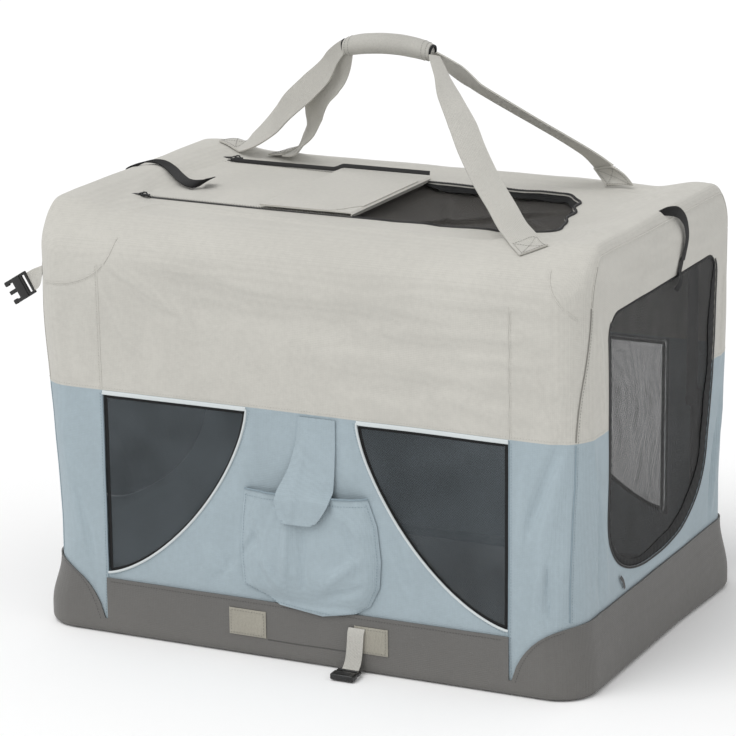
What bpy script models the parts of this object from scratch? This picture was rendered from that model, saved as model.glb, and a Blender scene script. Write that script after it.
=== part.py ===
"""Soft folding dog crate: a fabric shell on a steel tube frame that folds at its knees.

Metres, +Z up. X runs along the long side, the front with the pocket looks towards -Y, and the
origin is on the floor under the middle of the base.
"""

from math import cos, pi, radians, sin, sqrt

import bmesh
import bpy
from mathutils import Matrix, Vector

# Overall size of the standing crate, without its carrying handle
LENGTH = 0.82
WIDTH = 0.58
HEIGHT = 0.590
CORNER_R = 0.055  # upright corners of the base, in plan
GAP = 0.0003  # between pieces that touch
OVERRUN = 0.004  # how far a cutter reaches past what it cuts

# Grey base tub with its quarter disc corners
TUB_WALL = 0.003
TUB_EDGE_R = 0.010
TUB_RIM_Z = 0.082
TUB_DISC_R = 0.104  # radius of a corner's disc, and height of the tub's two ends
SEAM_OFFSET = 0.002  # from the disc's end on to the upright seam on the long sides
TUB_SPIKE_Z = 0.022  # lowest point of the notch between the rim and a corner's disc

# Fabric walls
WALL = 0.0025
WALL_FOOT_Z = 0.013
COLOUR_LINE_DROP = 0.238  # from the roof to where the blue cloth meets the beige
WALL_TOP_DROP = 0.060  # from the roof to the walls' upper edge
MESH = 0.0012  # netting of the windows, doors and hatch

# Windows, two in each long side
WINDOW_TOP_DROP = 0.005  # from the colour line
WINDOW_BOTTOM_Z = 0.090
WINDOW_SEAM = 0.001  # cloth between the upright seam and a window
WINDOW_INNER_X = 0.083
WINDOW_POWER = 1.5  # a superellipse between a straight line (1) and an ellipse (2)

# Doors, one in each end
DOOR_TOP_DROP = 0.082  # from the roof
DOOR_SHOULDER_Z = 0.250  # below it the opening's sides draw in to the rounded foot
DOOR_FOOT_Z = 0.124
DOOR_TOP_INSET = 0.090  # from the crate's long side to the doorway's top corner
DOOR_SHOULDER_INSET = 0.104
DOOR_TOP_CORNER_R = 0.030
DOOR_POWER = 2.5
DOOR_BINDING_W = 0.016
TIE_W = 0.020
TIE_THICK = 0.0015
TIE_DROP = 0.042  # from the walls' upper edge to a tie's end, over the door
RIGHT_TIE_Y = 0.050
LEFT_TIE_Y = 0.065
ROOF_TIE_LENGTH = 0.030  # flat on the roof, before the tie bends over the edge
ROOF_TIE_END = 25  # degrees above level where it ends on the rounded edge

# Steel tube frame
TUBE_R = 0.008
RAIL_R = 0.006
LEG_INSET = 0.050  # from each end of the crate to the legs
LOWER_PIVOT_Z = 0.045
UPPER_PIVOT_DROP = 0.075  # from the roof
LEG_END = 0.009  # tube past each pivot
LEG_SPACING = 0.018  # between the planes of a lower and an upper leg
PIN_R = 0.004
PIN_CLEARANCE = 0.0003
PIN_HEAD_R = 0.0065
PIN_HEAD = 0.002
LUG = 0.004  # plate on the base ring that carries a leg
LUG_W = 0.022
LUG_BITE = 0.001  # how far a lug is welded into the ring
ARCH_BEND_R = 0.060
RAIL_INSET = 0.120  # from the long sides
SOCKET_LENGTH = 0.034
SOCKET_DEPTH = 0.020

# Floor
BOARD = 0.003
BOARD_INSET = 0.001  # from the ring to the board
MAT_INSET = 0.006  # from the ring to the mat
MAT_EDGE = 0.014  # thickness at the mat's edge
MAT_CROWN = 0.022  # thickness at its middle
MAT_CORNER_R = 0.030

# Roof cap
CAP = 0.002
CAP_EDGE_R = 0.045
CAP_LAP = 0.010  # how far the cap's skirt reaches down inside the walls
SHOULDER_INSET = 0.078  # the roof falls away over this distance from its long edges
SHOULDER_DROP = 0.012

# Hatch in the roof, with its cover folded back
HATCH_LEFT_INSET = 0.092  # from the crate's left end
HATCH_RIGHT_INSET = 0.130
HATCH_SIDE_INSET = 0.160  # from the long sides
HATCH_END_R = 0.070
HATCH_BACK_R = 0.012
HATCH_LAP = 0.004  # cover past the hatch's edge
MESH_LAP = 0.015  # netting past the hatch's edge, under the cap
FOLD_X = 0.004
COVER = 0.002
ZIP_W = 0.005
ZIP_THICK = 0.0012
SLIDER_LENGTH = 0.013
SLIDER_W = 0.008
SLIDER_THICK = 0.0035
PULL_LENGTH = 0.018
PULL_W = 0.005
PULL_THICK = 0.0014
SLIDER_PARK = 0.007  # from the hatch's left edge to the parked sliders

# Carrying handle
GRIP_LENGTH = 0.134
GRIP_R = 0.0155
GRIP_Y = 0.030
HANDLE_RISE = 0.2015  # from the roof to the grip's middle
GRIP_RISE = 0.006  # arch of the grip at its middle
STRAP_W = 0.040
STRAP_THICK = 0.002
STRAP_FOOT = 0.040  # length sewn flat on the roof
STRAP_FOOT_SHARE = 0.12  # how stiffly a strap rises from its foot
STRAP_NECK_SHARE = 0.08  # and how stiffly it leaves the grip
STRAP_SPREAD_SHARE = 0.30  # of a strap's length, until it has its full width
SIDE_NECK_W = 0.014  # at the grip's right end, where two straps lie side by side
SIDE_NECK_Y = 0.009
STACKED_NECK_W = 0.028  # at its left end, where one strap lies on the other
FOOT_INSETS = {  # from the crate's nearer end, and from the long side in the next table
    "front_right": (0.122, 0.100),
    "back_right": (0.148, 0.094),
    "front_left": (0.077, 0.084),
    "back_left": (0.148, 0.086),
}
FOOT_SIDES = {"front_right": -1, "back_right": 1, "front_left": 1, "back_left": 1}
FOOT_TURNS = {  # direction in which each sewn end points, in degrees from +X
    "front_right": -48,
    "back_right": 58,
    "front_left": 148,
    "back_left": 160,
}

# Front pocket and its closing tab
POCKET_X = 0.010
POCKET_HALF = 0.105
POCKET_FOOT_Z = 0.084
POCKET_TOP_DROP = 0.112  # from the colour line
POCKET_DEPTH = 0.020
POCKET_MOUTH = 0.016  # how far the mouth stands off the wall
POCKET_CLOTH = 0.002
POCKET_POWER = 3.0
TAB_X = 0.002
TAB_W = 0.062
TAB_TOP_DROP = 0.0065  # from the colour line
TAB_LAP = 0.037  # over the pocket's mouth
TAB_THICK = 0.0025

# Webbing and buckles that hold the folded crate
WEBBING_W = 0.026
WEBBING_THICK = 0.002
BUCKLE_LENGTH = 0.040
SOCKET_BUCKLE_LENGTH = 0.028
BUCKLE_W = 0.034
BUCKLE_THICK = 0.009
BUCKLE_EDGE = 0.0015
BUCKLE_SLOT = 0.005
BUCKLE_BAR = 0.004
PRONG_W = 0.006
PRONG_LENGTH = 0.014
CORNER_WEB_INSET = 0.050  # from the front
CORNER_WEB_TOP_DROP = 0.002  # from the walls' upper edge
CORNER_WEB_LENGTH = 0.030  # that lies against the wall
CORNER_WEB_OUT = 0.018
CORNER_WEB_DROP = 0.010
PATCH_Z = 0.048
PATCH_H = 0.038
PATCH_THICK = 0.002
LEFT_PATCH_X = -0.083
LEFT_PATCH_W = 0.056
RIGHT_PATCH_X = 0.104
RIGHT_PATCH_W = 0.050
CLOSURE_X = 0.074
CLOSURE_TOP_Z = 0.062
CLOSURE_BEND_Z = 0.030
CLOSURE_OUT = 0.014
CLOSURE_FOOT_Z = 0.018

# Steps of round shapes
ARC_STEPS = 7
TUBE_SIDES = 14
CURVE_STEPS = 18
STRAP_STEPS = 15
SHOULDER_LINES = 3
MAT_CELLS = (22, 14)
POCKET_CELLS = (14, 11)

# Derived sizes
HALF_L = LENGTH / 2
HALF_W = WIDTH / 2
SEAM_INSET = TUB_DISC_R + SEAM_OFFSET
COLOUR_LINE_Z = HEIGHT - COLOUR_LINE_DROP
WALL_TOP_Z = HEIGHT - WALL_TOP_DROP
WINDOW_TOP_Z = COLOUR_LINE_Z - WINDOW_TOP_DROP
WINDOW_OUTER_X = HALF_L - SEAM_INSET - WINDOW_SEAM
DOOR_TOP_Z = HEIGHT - DOOR_TOP_DROP
DOOR_TOP_HALF = HALF_W - DOOR_TOP_INSET
DOOR_SHOULDER_HALF = HALF_W - DOOR_SHOULDER_INSET
UPPER_PIVOT_Z = HEIGHT - UPPER_PIVOT_DROP
RAIL_Y = HALF_W - RAIL_INSET
SHOULDER_Y = HALF_W - SHOULDER_INSET
HATCH_LEFT_X = HATCH_LEFT_INSET - HALF_L
HATCH_RIGHT_X = HALF_L - HATCH_RIGHT_INSET
HATCH_HALF = HALF_W - HATCH_SIDE_INSET
SLIDER_X = HATCH_LEFT_X + SLIDER_PARK
GRIP_Z = HEIGHT + HANDLE_RISE
POCKET_TOP_Z = COLOUR_LINE_Z - POCKET_TOP_DROP
TAB_TOP_Z = COLOUR_LINE_Z - TAB_TOP_DROP
TAB_FOOT_Z = POCKET_TOP_Z - TAB_LAP
CORNER_WEB_Y = CORNER_WEB_INSET - HALF_W
CORNER_WEB_TOP_Z = WALL_TOP_Z - CORNER_WEB_TOP_DROP
CORNER_WEB_BEND_Z = CORNER_WEB_TOP_Z - CORNER_WEB_LENGTH
WALL_L = HALF_L - TUB_WALL - GAP  # outer faces of the fabric walls
WALL_W = HALF_W - TUB_WALL - GAP
WALL_R = CORNER_R - TUB_WALL - GAP
CAP_L = WALL_L - WALL - GAP  # outer faces of the roof cap
CAP_W = WALL_W - WALL - GAP
CAP_R = WALL_R - WALL - GAP
LEG_X = HALF_L - LEG_INSET
RING_X = WALL_L - WALL - GAP - TUBE_R
RING_Y = WALL_W - WALL - GAP - TUBE_R
RING_Z = TUB_WALL + GAP + TUBE_R
LUG_OUTER_Y = RING_Y - TUBE_R + LUG_BITE
LOWER_Y = LUG_OUTER_Y - LUG - GAP - TUBE_R  # plane of the lower legs and the arches' ends
UPPER_Y = LOWER_Y - LEG_SPACING  # plane of the upper legs
HALF_LEG = (UPPER_PIVOT_Z - LOWER_PIVOT_Z) / 2
KNEE_Z = LOWER_PIVOT_Z + HALF_LEG
ARCH_Z = HEIGHT - CAP - GAP - TUBE_R
COVER_Z = HEIGHT + GAP  # underside of the cover where it lies shut
FOLD_Z = COVER_Z + COVER + GAP  # the fold's axis
FLAP_LENGTH = (HATCH_RIGHT_X - FOLD_X) / 2
SECOND_FOLD_Z = FOLD_Z + GAP + COVER + GAP
ZIP_Y = HATCH_HALF + HATCH_LAP + GAP + ZIP_W / 2

BLUE = (0.365, 0.455, 0.492)
BEIGE = (0.720, 0.705, 0.665)
GREY = (0.150, 0.148, 0.143)
BLACK = (0.012, 0.012, 0.013)
NETTING = (0.045, 0.046, 0.048)
WEBBING = (0.640, 0.615, 0.555)
MAT_GREY = (0.200, 0.190, 0.172)
STEEL = (0.180, 0.180, 0.185)


def clear_scene():
    for obj in list(bpy.data.objects):
        bpy.data.objects.remove(obj, do_unlink=True)


def new_collection(name):
    collection = bpy.data.collections.new(name)
    bpy.context.scene.collection.children.link(collection)
    return collection


def material(name, colour, roughness, metallic=0.0):
    mat = bpy.data.materials.new(name)
    mat.use_nodes = True
    shader = mat.node_tree.nodes["Principled BSDF"]
    shader.inputs["Base Color"].default_value = (*colour, 1.0)
    shader.inputs["Roughness"].default_value = roughness
    shader.inputs["Metallic"].default_value = metallic
    mat.diffuse_color = (*colour, 1.0)
    return mat


clear_scene()
PARTS = new_collection("folding_dog_crate")
CUTTERS = new_collection("cutters")

BLUE_CLOTH = ("blue_cloth", BLUE, 0.85)
BEIGE_CLOTH = ("beige_cloth", BEIGE, 0.85)
GREY_CLOTH = ("grey_cloth", GREY, 0.8)
BLACK_CLOTH = ("black_cloth", BLACK, 0.7)
BLACK_NETTING = ("black_netting", NETTING, 0.8)
BEIGE_WEBBING = ("beige_webbing", WEBBING, 0.75)
MAT_CLOTH = ("mat_cloth", MAT_GREY, 0.9)
BOARD_PLASTIC = ("board_plastic", BLACK, 0.6)
BLACK_PLASTIC = ("black_plastic", BLACK, 0.4)
PAINTED_STEEL = ("painted_steel", STEEL, 0.45, 0.6)


def place(name, mesh, finish, collection=None, origin=None):
    """Links a mesh drawn in world coordinates, with the object's origin at the given point."""
    obj = bpy.data.objects.new(name, mesh)
    (collection or PARTS).objects.link(obj)
    if origin is not None:
        mesh.transform(Matrix.Translation(-Vector(origin)))
        obj.location = origin
    if finish is not None:
        mesh.materials.clear()
        mesh.materials.append(material(name + "_" + finish[0], *finish[1:]))
    else:
        obj.hide_render = True
        obj.display_type = "WIRE"
    return obj


def mesh_from(bm, name):
    mesh = bpy.data.meshes.new(name)
    bm.to_mesh(mesh)
    bm.free()
    mesh.update()
    return mesh


def smooth(obj, degrees=40):
    obj.data.shade_smooth()
    obj.data.set_sharp_from_angle(angle=radians(degrees))
    return obj


def solidify(obj, thickness):
    mod = obj.modifiers.new("shell", "SOLIDIFY")
    mod.thickness = thickness
    mod.offset = -1.0
    mod.use_even_offset = True
    return obj


def boolean(obj, other, operation):
    mod = obj.modifiers.new(other.name, "BOOLEAN")
    mod.operation = operation
    mod.solver = "EXACT"
    mod.object = other
    return obj


def cut(obj, *others):
    for other in others:
        boolean(obj, other, "DIFFERENCE")
    return obj


def join(obj, *others):
    for other in others:
        boolean(obj, other, "UNION")
    return obj


def copy_tool(tool, matrix, suffix):
    """A second cutter that shares the first one's mesh."""
    copy = bpy.data.objects.new(tool.name + suffix, tool.data)
    CUTTERS.objects.link(copy)
    copy.matrix_world = matrix @ tool.matrix_world
    copy.hide_render = True
    copy.display_type = "WIRE"
    return copy


def box_mesh(name, low, high, bevel=0.0):
    low, high = Vector(low), Vector(high)
    bm = bmesh.new()
    size = high - low
    place_box = Matrix.Translation((low + high) / 2) @ Matrix.Diagonal((*size, 1.0))
    bmesh.ops.create_cube(bm, size=1.0, matrix=place_box)
    if bevel:
        bmesh.ops.bevel(bm, geom=bm.edges[:], offset=bevel, segments=2, affect="EDGES", profile=0.5)
    return mesh_from(bm, name)


def rod_mesh(name, start, end, radius, sides=TUBE_SIDES):
    start, end = Vector(start), Vector(end)
    run = end - start
    turn = Vector((0, 0, 1)).rotation_difference(run).to_matrix().to_4x4()
    bm = bmesh.new()
    bmesh.ops.create_cone(
        bm,
        cap_ends=True,
        segments=sides,
        radius1=radius,
        radius2=radius,
        depth=run.length,
        matrix=Matrix.Translation((start + end) / 2) @ turn,
    )
    return mesh_from(bm, name)


def mesh_of_curve(curve_obj, name):
    """The evaluated curve as a welded mesh; the curve itself is removed."""
    CUTTERS.objects.link(curve_obj)
    bpy.context.view_layer.update()
    graph = bpy.context.evaluated_depsgraph_get()
    mesh = bpy.data.meshes.new_from_object(curve_obj.evaluated_get(graph))
    mesh.transform(curve_obj.matrix_world)
    bpy.data.objects.remove(curve_obj, do_unlink=True)
    mesh.name = name
    bm = bmesh.new()
    bm.from_mesh(mesh)
    bmesh.ops.remove_doubles(bm, verts=bm.verts[:], dist=GAP / 10)
    bmesh.ops.recalc_face_normals(bm, faces=bm.faces[:])
    bm.to_mesh(mesh)
    bm.free()
    return mesh


def tube_mesh(name, points, radius, closed=False, bevel_resolution=4):
    curve = bpy.data.curves.new(name, "CURVE")
    curve.dimensions = "3D"
    curve.bevel_depth = radius
    curve.bevel_resolution = bevel_resolution
    curve.use_fill_caps = not closed
    spline = curve.splines.new("POLY")
    spline.points.add(len(points) - 1)
    for point, co in zip(spline.points, points):
        point.co = (*co, 1.0)
    spline.use_cyclic_u = closed
    return mesh_of_curve(bpy.data.objects.new(name, curve), name)


FRONT_PLANE = Matrix(((1, 0, 0, 0), (0, 0, -1, 0), (0, 1, 0, 0), (0, 0, 0, 1)))  # draws in X and Z
END_PLANE = Matrix(((0, 0, 1, 0), (1, 0, 0, 0), (0, 1, 0, 0), (0, 0, 0, 1)))  # draws in Y and Z
FLOOR_PLANE = Matrix.Identity(4)  # draws in X and Y


def plate_mesh(name, outlines, thickness, plane, centre):
    """Flat outlines, the later ones holes, filled and given a thickness about their centre."""
    curve = bpy.data.curves.new(name, "CURVE")
    curve.dimensions = "2D"
    curve.fill_mode = "BOTH"
    curve.extrude = thickness / 2
    for outline in outlines:
        spline = curve.splines.new("POLY")
        spline.points.add(len(outline) - 1)
        for point, (u, v) in zip(spline.points, outline):
            point.co = (u, v, 0.0, 1.0)
        spline.use_cyclic_u = True
    obj = bpy.data.objects.new(name, curve)
    obj.matrix_world = Matrix.Translation(centre) @ plane
    return mesh_of_curve(obj, name)


def arc(centre, radius, start, end, steps=ARC_STEPS):
    """Points of an arc in degrees, both ends included."""
    points = []
    for i in range(steps + 1):
        angle = radians(start + (end - start) * i / steps)
        points.append((centre[0] + radius * cos(angle), centre[1] + radius * sin(angle)))
    return points


def rounded_rect(low, high, radii, steps=ARC_STEPS):
    """Radii run from the lower left corner anticlockwise."""
    (x0, y0), (x1, y1) = low, high
    r0, r1, r2, r3 = radii
    return (
        arc((x0 + r0, y0 + r0), r0, 180, 270, steps)
        + arc((x1 - r1, y0 + r1), r1, 270, 360, steps)
        + arc((x1 - r2, y1 - r2), r2, 0, 90, steps)
        + arc((x0 + r3, y1 - r3), r3, 90, 180, steps)
    )


def window_outline(side, inset):
    """Upright outer edge, level top, and a curve that sweeps from the top's inner end to the foot."""
    outer, inner = WINDOW_OUTER_X - inset, WINDOW_INNER_X + inset
    top, bottom = WINDOW_TOP_Z - inset, WINDOW_BOTTOM_Z + inset
    points = [(side * outer, top)]
    for i in range(CURVE_STEPS + 1):
        t = pi / 2 * i / CURVE_STEPS
        u = cos(t) ** (2 / WINDOW_POWER) if i < CURVE_STEPS else 0.0
        v = sin(t) ** (2 / WINDOW_POWER)
        points.append((side * (outer - (outer - inner) * u), top - (top - bottom) * v))
    return points


def door_outline(inset):
    """Level top with small corners, sides that draw in slightly and a broad rounded foot."""
    top, shoulder, foot = DOOR_TOP_Z - inset, DOOR_SHOULDER_Z, DOOR_FOOT_Z + inset
    top_half, half = DOOR_TOP_HALF - inset, DOOR_SHOULDER_HALF - inset
    corner = DOOR_TOP_CORNER_R - inset
    right = []
    for i in range(CURVE_STEPS):
        t = pi / 2 * i / CURVE_STEPS
        y = half * sin(t) ** (2 / DOOR_POWER)
        right.append((y, shoulder - (shoulder - foot) * cos(t) ** (2 / DOOR_POWER)))
    right.append((half, shoulder))
    right += arc((top_half - corner, top - corner), corner, 0, 90)
    left = [(-y, z) for y, z in reversed(right) if y]
    return right + left


def open_box_mesh(name, half_l, half_w, low, high, corner_r, edge_r, open_top):
    """A box without its lid or its floor, its upright corners and closed edge rounded."""
    bm = bmesh.new()
    size = (2 * half_l, 2 * half_w, high - low)
    centre = Vector((0, 0, (low + high) / 2))
    scale = Matrix.Diagonal((*size, 1.0))
    bmesh.ops.create_cube(bm, size=1.0, matrix=Matrix.Translation(centre) @ scale)
    upright = [e for e in bm.edges if abs(e.verts[0].co.z - e.verts[1].co.z) > edge_r]
    bmesh.ops.bevel(
        bm, geom=upright, offset=corner_r, segments=ARC_STEPS, affect="EDGES", profile=0.5
    )
    closed_z, open_z = (low, high) if open_top else (high, low)
    lid = [f for f in bm.faces if all(abs(v.co.z - open_z) < GAP for v in f.verts)]
    bmesh.ops.delete(bm, geom=lid, context="FACES_ONLY")
    rim = [e for e in bm.edges if all(abs(v.co.z - closed_z) < GAP for v in e.verts)]
    bmesh.ops.bevel(bm, geom=rim, offset=edge_r, segments=4, affect="EDGES", profile=0.5)
    return mesh_from(bm, name)


def disc_notch(side):
    """Front view of what the tub lacks between its rim and one corner's disc."""
    seam = HALF_L - SEAM_INSET
    top = TUB_DISC_R + OVERRUN
    start = sqrt(TUB_DISC_R**2 - TUB_SPIKE_Z**2)
    points = [(seam, TUB_SPIKE_Z)]
    for i in range(ARC_STEPS + 1):
        x = start * (1 - i / ARC_STEPS)
        points.append((HALF_L - x, sqrt(TUB_DISC_R**2 - x**2)))
    points += [(HALF_L, top), (seam, top)]
    return [(side * x, z) for x, z in points]


def build_tub():
    mesh = open_box_mesh(
        "base_tub", HALF_L, HALF_W, 0.0, TUB_DISC_R, CORNER_R, TUB_EDGE_R, open_top=True
    )
    tub = solidify(place("base_tub", mesh, GREY_CLOTH), TUB_WALL)
    seam = HALF_L - SEAM_INSET
    rim = box_mesh(
        "tub_rim_cut",
        (-seam - GAP, -HALF_W - OVERRUN, TUB_RIM_Z),
        (seam + GAP, HALF_W + OVERRUN, TUB_DISC_R + OVERRUN),
    )
    cut(tub, place("tub_rim_cut", rim, None, CUTTERS))
    for side, name in ((-1, "left"), (1, "right")):
        notch = plate_mesh(
            f"tub_notch_{name}", [disc_notch(side)], WIDTH + OVERRUN, FRONT_PLANE, (0, 0, 0)
        )
        cut(tub, place(f"tub_notch_{name}", notch, None, CUTTERS))
    return smooth(tub)


def side_panel_mesh(name, low, high):
    """The front's cloth between two heights, drawn round both upright corners."""
    centre_y = WALL_R - WALL_W
    plan = arc((WALL_R - WALL_L, centre_y), WALL_R, 180, 270)
    plan += arc((WALL_L - WALL_R, centre_y), WALL_R, 270, 360)
    bm = bmesh.new()
    foot = [bm.verts.new((x, y, low)) for x, y in plan]
    edges = [bm.edges.new(pair) for pair in zip(foot, foot[1:])]
    made = bmesh.ops.extrude_edge_only(bm, edges=edges)
    raised = [v for v in made["geom"] if isinstance(v, bmesh.types.BMVert)]
    bmesh.ops.translate(bm, verts=raised, vec=(0, 0, high - low))
    bmesh.ops.recalc_face_normals(bm, faces=bm.faces[:])
    front = min(bm.faces, key=lambda f: f.calc_center_median().y)
    if front.normal.y > 0:
        bmesh.ops.reverse_faces(bm, faces=bm.faces[:])
    return mesh_from(bm, name)


def build_long_walls():
    """Front and back, each a blue lower panel with two windows and a beige upper panel."""
    windows = []
    for side, name in ((-1, "left"), (1, "right")):
        mesh = plate_mesh(
            f"window_cut_{name}",
            [window_outline(side, 0.0)],
            WALL + 2 * OVERRUN,
            FRONT_PLANE,
            (0, WALL / 2 - WALL_W, 0),
        )
        windows.append(place(f"window_cut_{name}", mesh, None, CUTTERS))
    half_turn = Matrix.Rotation(pi, 4, "Z")
    for face in ("front", "back"):
        tools = windows
        if face == "back":
            tools = [copy_tool(tool, half_turn, "_back") for tool in windows]
        lower_mesh = side_panel_mesh(f"{face}_panel_lower", WALL_FOOT_Z, COLOUR_LINE_Z - GAP)
        upper_mesh = side_panel_mesh(f"{face}_panel_upper", COLOUR_LINE_Z, WALL_TOP_Z)
        lower = solidify(place(f"{face}_panel_lower", lower_mesh, BLUE_CLOTH), WALL)
        upper = solidify(place(f"{face}_panel_upper", upper_mesh, BEIGE_CLOTH), WALL)
        if face == "back":
            lower.rotation_euler.z = pi
            upper.rotation_euler.z = pi
        bpy.context.view_layer.update()
        cut(lower, *tools)
        smooth(lower)
        smooth(upper)


def build_windows():
    for face, turn in (("front", 0.0), ("back", pi)):
        for side, name in ((-1, "left"), (1, "right")):
            drawn_side = side if face == "front" else -side
            mesh = plate_mesh(
                f"window_mesh_{face}_{name}",
                [window_outline(drawn_side, GAP)],
                MESH,
                FRONT_PLANE,
                (0, WALL / 2 - WALL_W, 0),
            )
            obj = place(f"window_mesh_{face}_{name}", mesh, BLACK_NETTING)
            obj.rotation_euler.z = turn


def build_end_walls():
    """Left and right, each a blue lower and a beige upper panel round the doorway."""
    half = WALL_W - WALL_R - GAP
    for side, name in ((-1, "left"), (1, "right")):
        centre = (side * (WALL_L - WALL / 2), 0, 0)
        doorway = plate_mesh(
            f"doorway_{name}", [door_outline(0.0)], WALL + 2 * OVERRUN, END_PLANE, centre
        )
        doorway_tool = place(f"doorway_{name}", doorway, None, CUTTERS)
        bands = (
            ("lower", WALL_FOOT_Z, COLOUR_LINE_Z - GAP, BLUE_CLOTH),
            ("upper", COLOUR_LINE_Z, WALL_TOP_Z, BEIGE_CLOTH),
        )
        for band, low, high, finish in bands:
            mesh = box_mesh(
                f"{name}_panel_{band}",
                (centre[0] - WALL / 2, -half, low),
                (centre[0] + WALL / 2, half, high),
            )
            cut(place(f"{name}_panel_{band}", mesh, finish), doorway_tool)


def build_doors():
    """A netting door with a black binding, hung by its top edge, at each end."""
    for side, name in ((-1, "left"), (1, "right")):
        hinge = Vector((side * WALL_L, 0, DOOR_TOP_Z))
        centre = (side * (WALL_L - WALL / 2), 0, 0)
        binding = plate_mesh(
            f"{name}_door_binding",
            [door_outline(GAP), door_outline(DOOR_BINDING_W)],
            WALL,
            END_PLANE,
            centre,
        )
        net = plate_mesh(
            f"{name}_door_mesh", [door_outline(DOOR_BINDING_W + GAP)], MESH, END_PLANE, centre
        )
        place(f"{name}_door_binding", binding, BLACK_CLOTH, origin=hinge)
        place(f"{name}_door_mesh", net, BLACK_NETTING, origin=hinge)


def build_ties():
    """Black straps that hold a rolled door, each in three lengths: on the roof, the wall, the door."""
    top = WALL_TOP_Z - GAP
    wall_foot = DOOR_TOP_Z + GAP
    door_start = DOOR_TOP_Z - 2 * TIE_THICK - GAP  # leaves room to turn at the door's hinge
    for side, name, y in ((-1, "left", LEFT_TIE_Y), (1, "right", RIGHT_TIE_Y)):
        inner = side * (WALL_L + GAP)
        outer = side * (WALL_L + GAP + TIE_THICK)
        hinge = Vector((side * WALL_L, 0, DOOR_TOP_Z))
        lengths = (
            (f"{name}_wall_tie", wall_foot, top, None),
            (f"{name}_door_tie", top - TIE_DROP, door_start, hinge),
        )
        for tie_name, low, high, origin in lengths:
            mesh = box_mesh(
                tie_name,
                (min(inner, outer), y - TIE_W / 2, low),
                (max(inner, outer), y + TIE_W / 2, high),
                TIE_THICK / 3,
            )
            place(tie_name, mesh, BLACK_CLOTH, origin=origin)
        build_roof_tie(f"{name}_roof_tie", side, y)


def build_roof_tie(name, side, y):
    """Lies on the roof from the hatch's end outwards and bends over the cap's rounded edge."""
    offset = GAP + TIE_THICK / 2
    bend_x, bend_z = CAP_L - CAP_EDGE_R, HEIGHT - CAP_EDGE_R
    points = [(bend_x - ROOF_TIE_LENGTH, HEIGHT + offset)]
    points += arc((bend_x, bend_z), CAP_EDGE_R + offset, 90, ROOF_TIE_END, ARC_STEPS)
    stations = [(Vector((side * x, y, z)), Vector((0, 1, 0)), TIE_W) for x, z in points]
    ribbon(name, stations, TIE_THICK, BLACK_CLOTH)


def join_pin(owner, label, x, face, z, root_y, head_y):
    """A headed pivot pin that runs in along Y from root_y, joined to the piece that carries it."""
    seat = face * (head_y - PIN_HEAD / 2)
    shank = rod_mesh(f"pin_{label}", (x, face * root_y, z), (x, seat, z), PIN_R)
    head = rod_mesh(
        f"pin_head_{label}", (x, face * head_y, z), (x, face * (head_y - PIN_HEAD), z), PIN_HEAD_R
    )
    join(owner, place(f"pin_{label}", shank, None, CUTTERS))
    join(owner, place(f"pin_head_{label}", head, None, CUTTERS))


def build_base_ring():
    """The floor's tube, with a welded lug and pin for each lower leg."""
    radius = CAP_R - TUBE_R
    plan = rounded_rect((-RING_X, -RING_Y), (RING_X, RING_Y), (radius,) * 4, 5)
    mesh = tube_mesh("base_ring", [(x, y, RING_Z) for x, y in plan], TUBE_R, closed=True)
    ring = place("base_ring", mesh, PAINTED_STEEL)
    for face in (-1, 1):
        for side in (-1, 1):
            label = f"{face}_{side}"
            x = side * LEG_X
            middle = face * (LUG_OUTER_Y - LUG / 2)
            low = RING_Z - TUBE_R / 2
            outline = [(x - LUG_W / 2, low), (x + LUG_W / 2, low)]
            outline += arc((x, LOWER_PIVOT_Z), LUG_W / 2, 0, 180)
            lug = plate_mesh(f"lug_{label}", [outline], LUG, FRONT_PLANE, (0, middle, 0))
            join(ring, place(f"lug_{label}", lug, None, CUTTERS))
            root_y, head_y = LUG_OUTER_Y - LUG / 2, LOWER_Y - TUBE_R - GAP
            join_pin(ring, f"base_{label}", x, face, LOWER_PIVOT_Z, root_y, head_y)
    return smooth(ring)


def leg_pin(owner, label, x, face, z):
    """The pin that holds an upper leg, joined to the lower leg or arch that carries it."""
    join_pin(owner, label, x, face, z, LOWER_Y - TUBE_R / 2, UPPER_Y - TUBE_R - GAP)


def pin_hole(owner, label, x, y, z):
    """A hole with running clearance right through a tube, along Y."""
    reach = TUBE_R + OVERRUN
    hole = rod_mesh(f"hole_{label}", (x, y - reach, z), (x, y + reach, z), PIN_R + PIN_CLEARANCE)
    cut(owner, place(f"hole_{label}", hole, None, CUTTERS))


def build_legs():
    """Four legs of two tubes each, side by side at the knee."""
    for face, face_name in ((-1, "front"), (1, "back")):
        for side, side_name in ((-1, "left"), (1, "right")):
            label = f"{face_name}_{side_name}"
            x = side * LEG_X
            lower = rod_mesh(
                f"lower_leg_{label}",
                (x, face * LOWER_Y, LOWER_PIVOT_Z - LEG_END),
                (x, face * LOWER_Y, KNEE_Z + LEG_END),
                TUBE_R,
            )
            origin = (x, face * LOWER_Y, LOWER_PIVOT_Z)
            leg = place(f"lower_leg_{label}", lower, PAINTED_STEEL, origin=origin)
            pin_hole(leg, f"foot_{label}", x, face * LOWER_Y, LOWER_PIVOT_Z)
            leg_pin(leg, f"knee_{label}", x, face, KNEE_Z)
            smooth(leg)
            upper = rod_mesh(
                f"upper_leg_{label}",
                (x, face * UPPER_Y, KNEE_Z - LEG_END),
                (x, face * UPPER_Y, UPPER_PIVOT_Z + LEG_END),
                TUBE_R,
            )
            origin = (x, face * UPPER_Y, KNEE_Z)
            leg = place(f"upper_leg_{label}", upper, PAINTED_STEEL, origin=origin)
            pin_hole(leg, f"knee_{label}", x, face * UPPER_Y, KNEE_Z)
            pin_hole(leg, f"top_{label}", x, face * UPPER_Y, UPPER_PIVOT_Z)
            smooth(leg)


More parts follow.
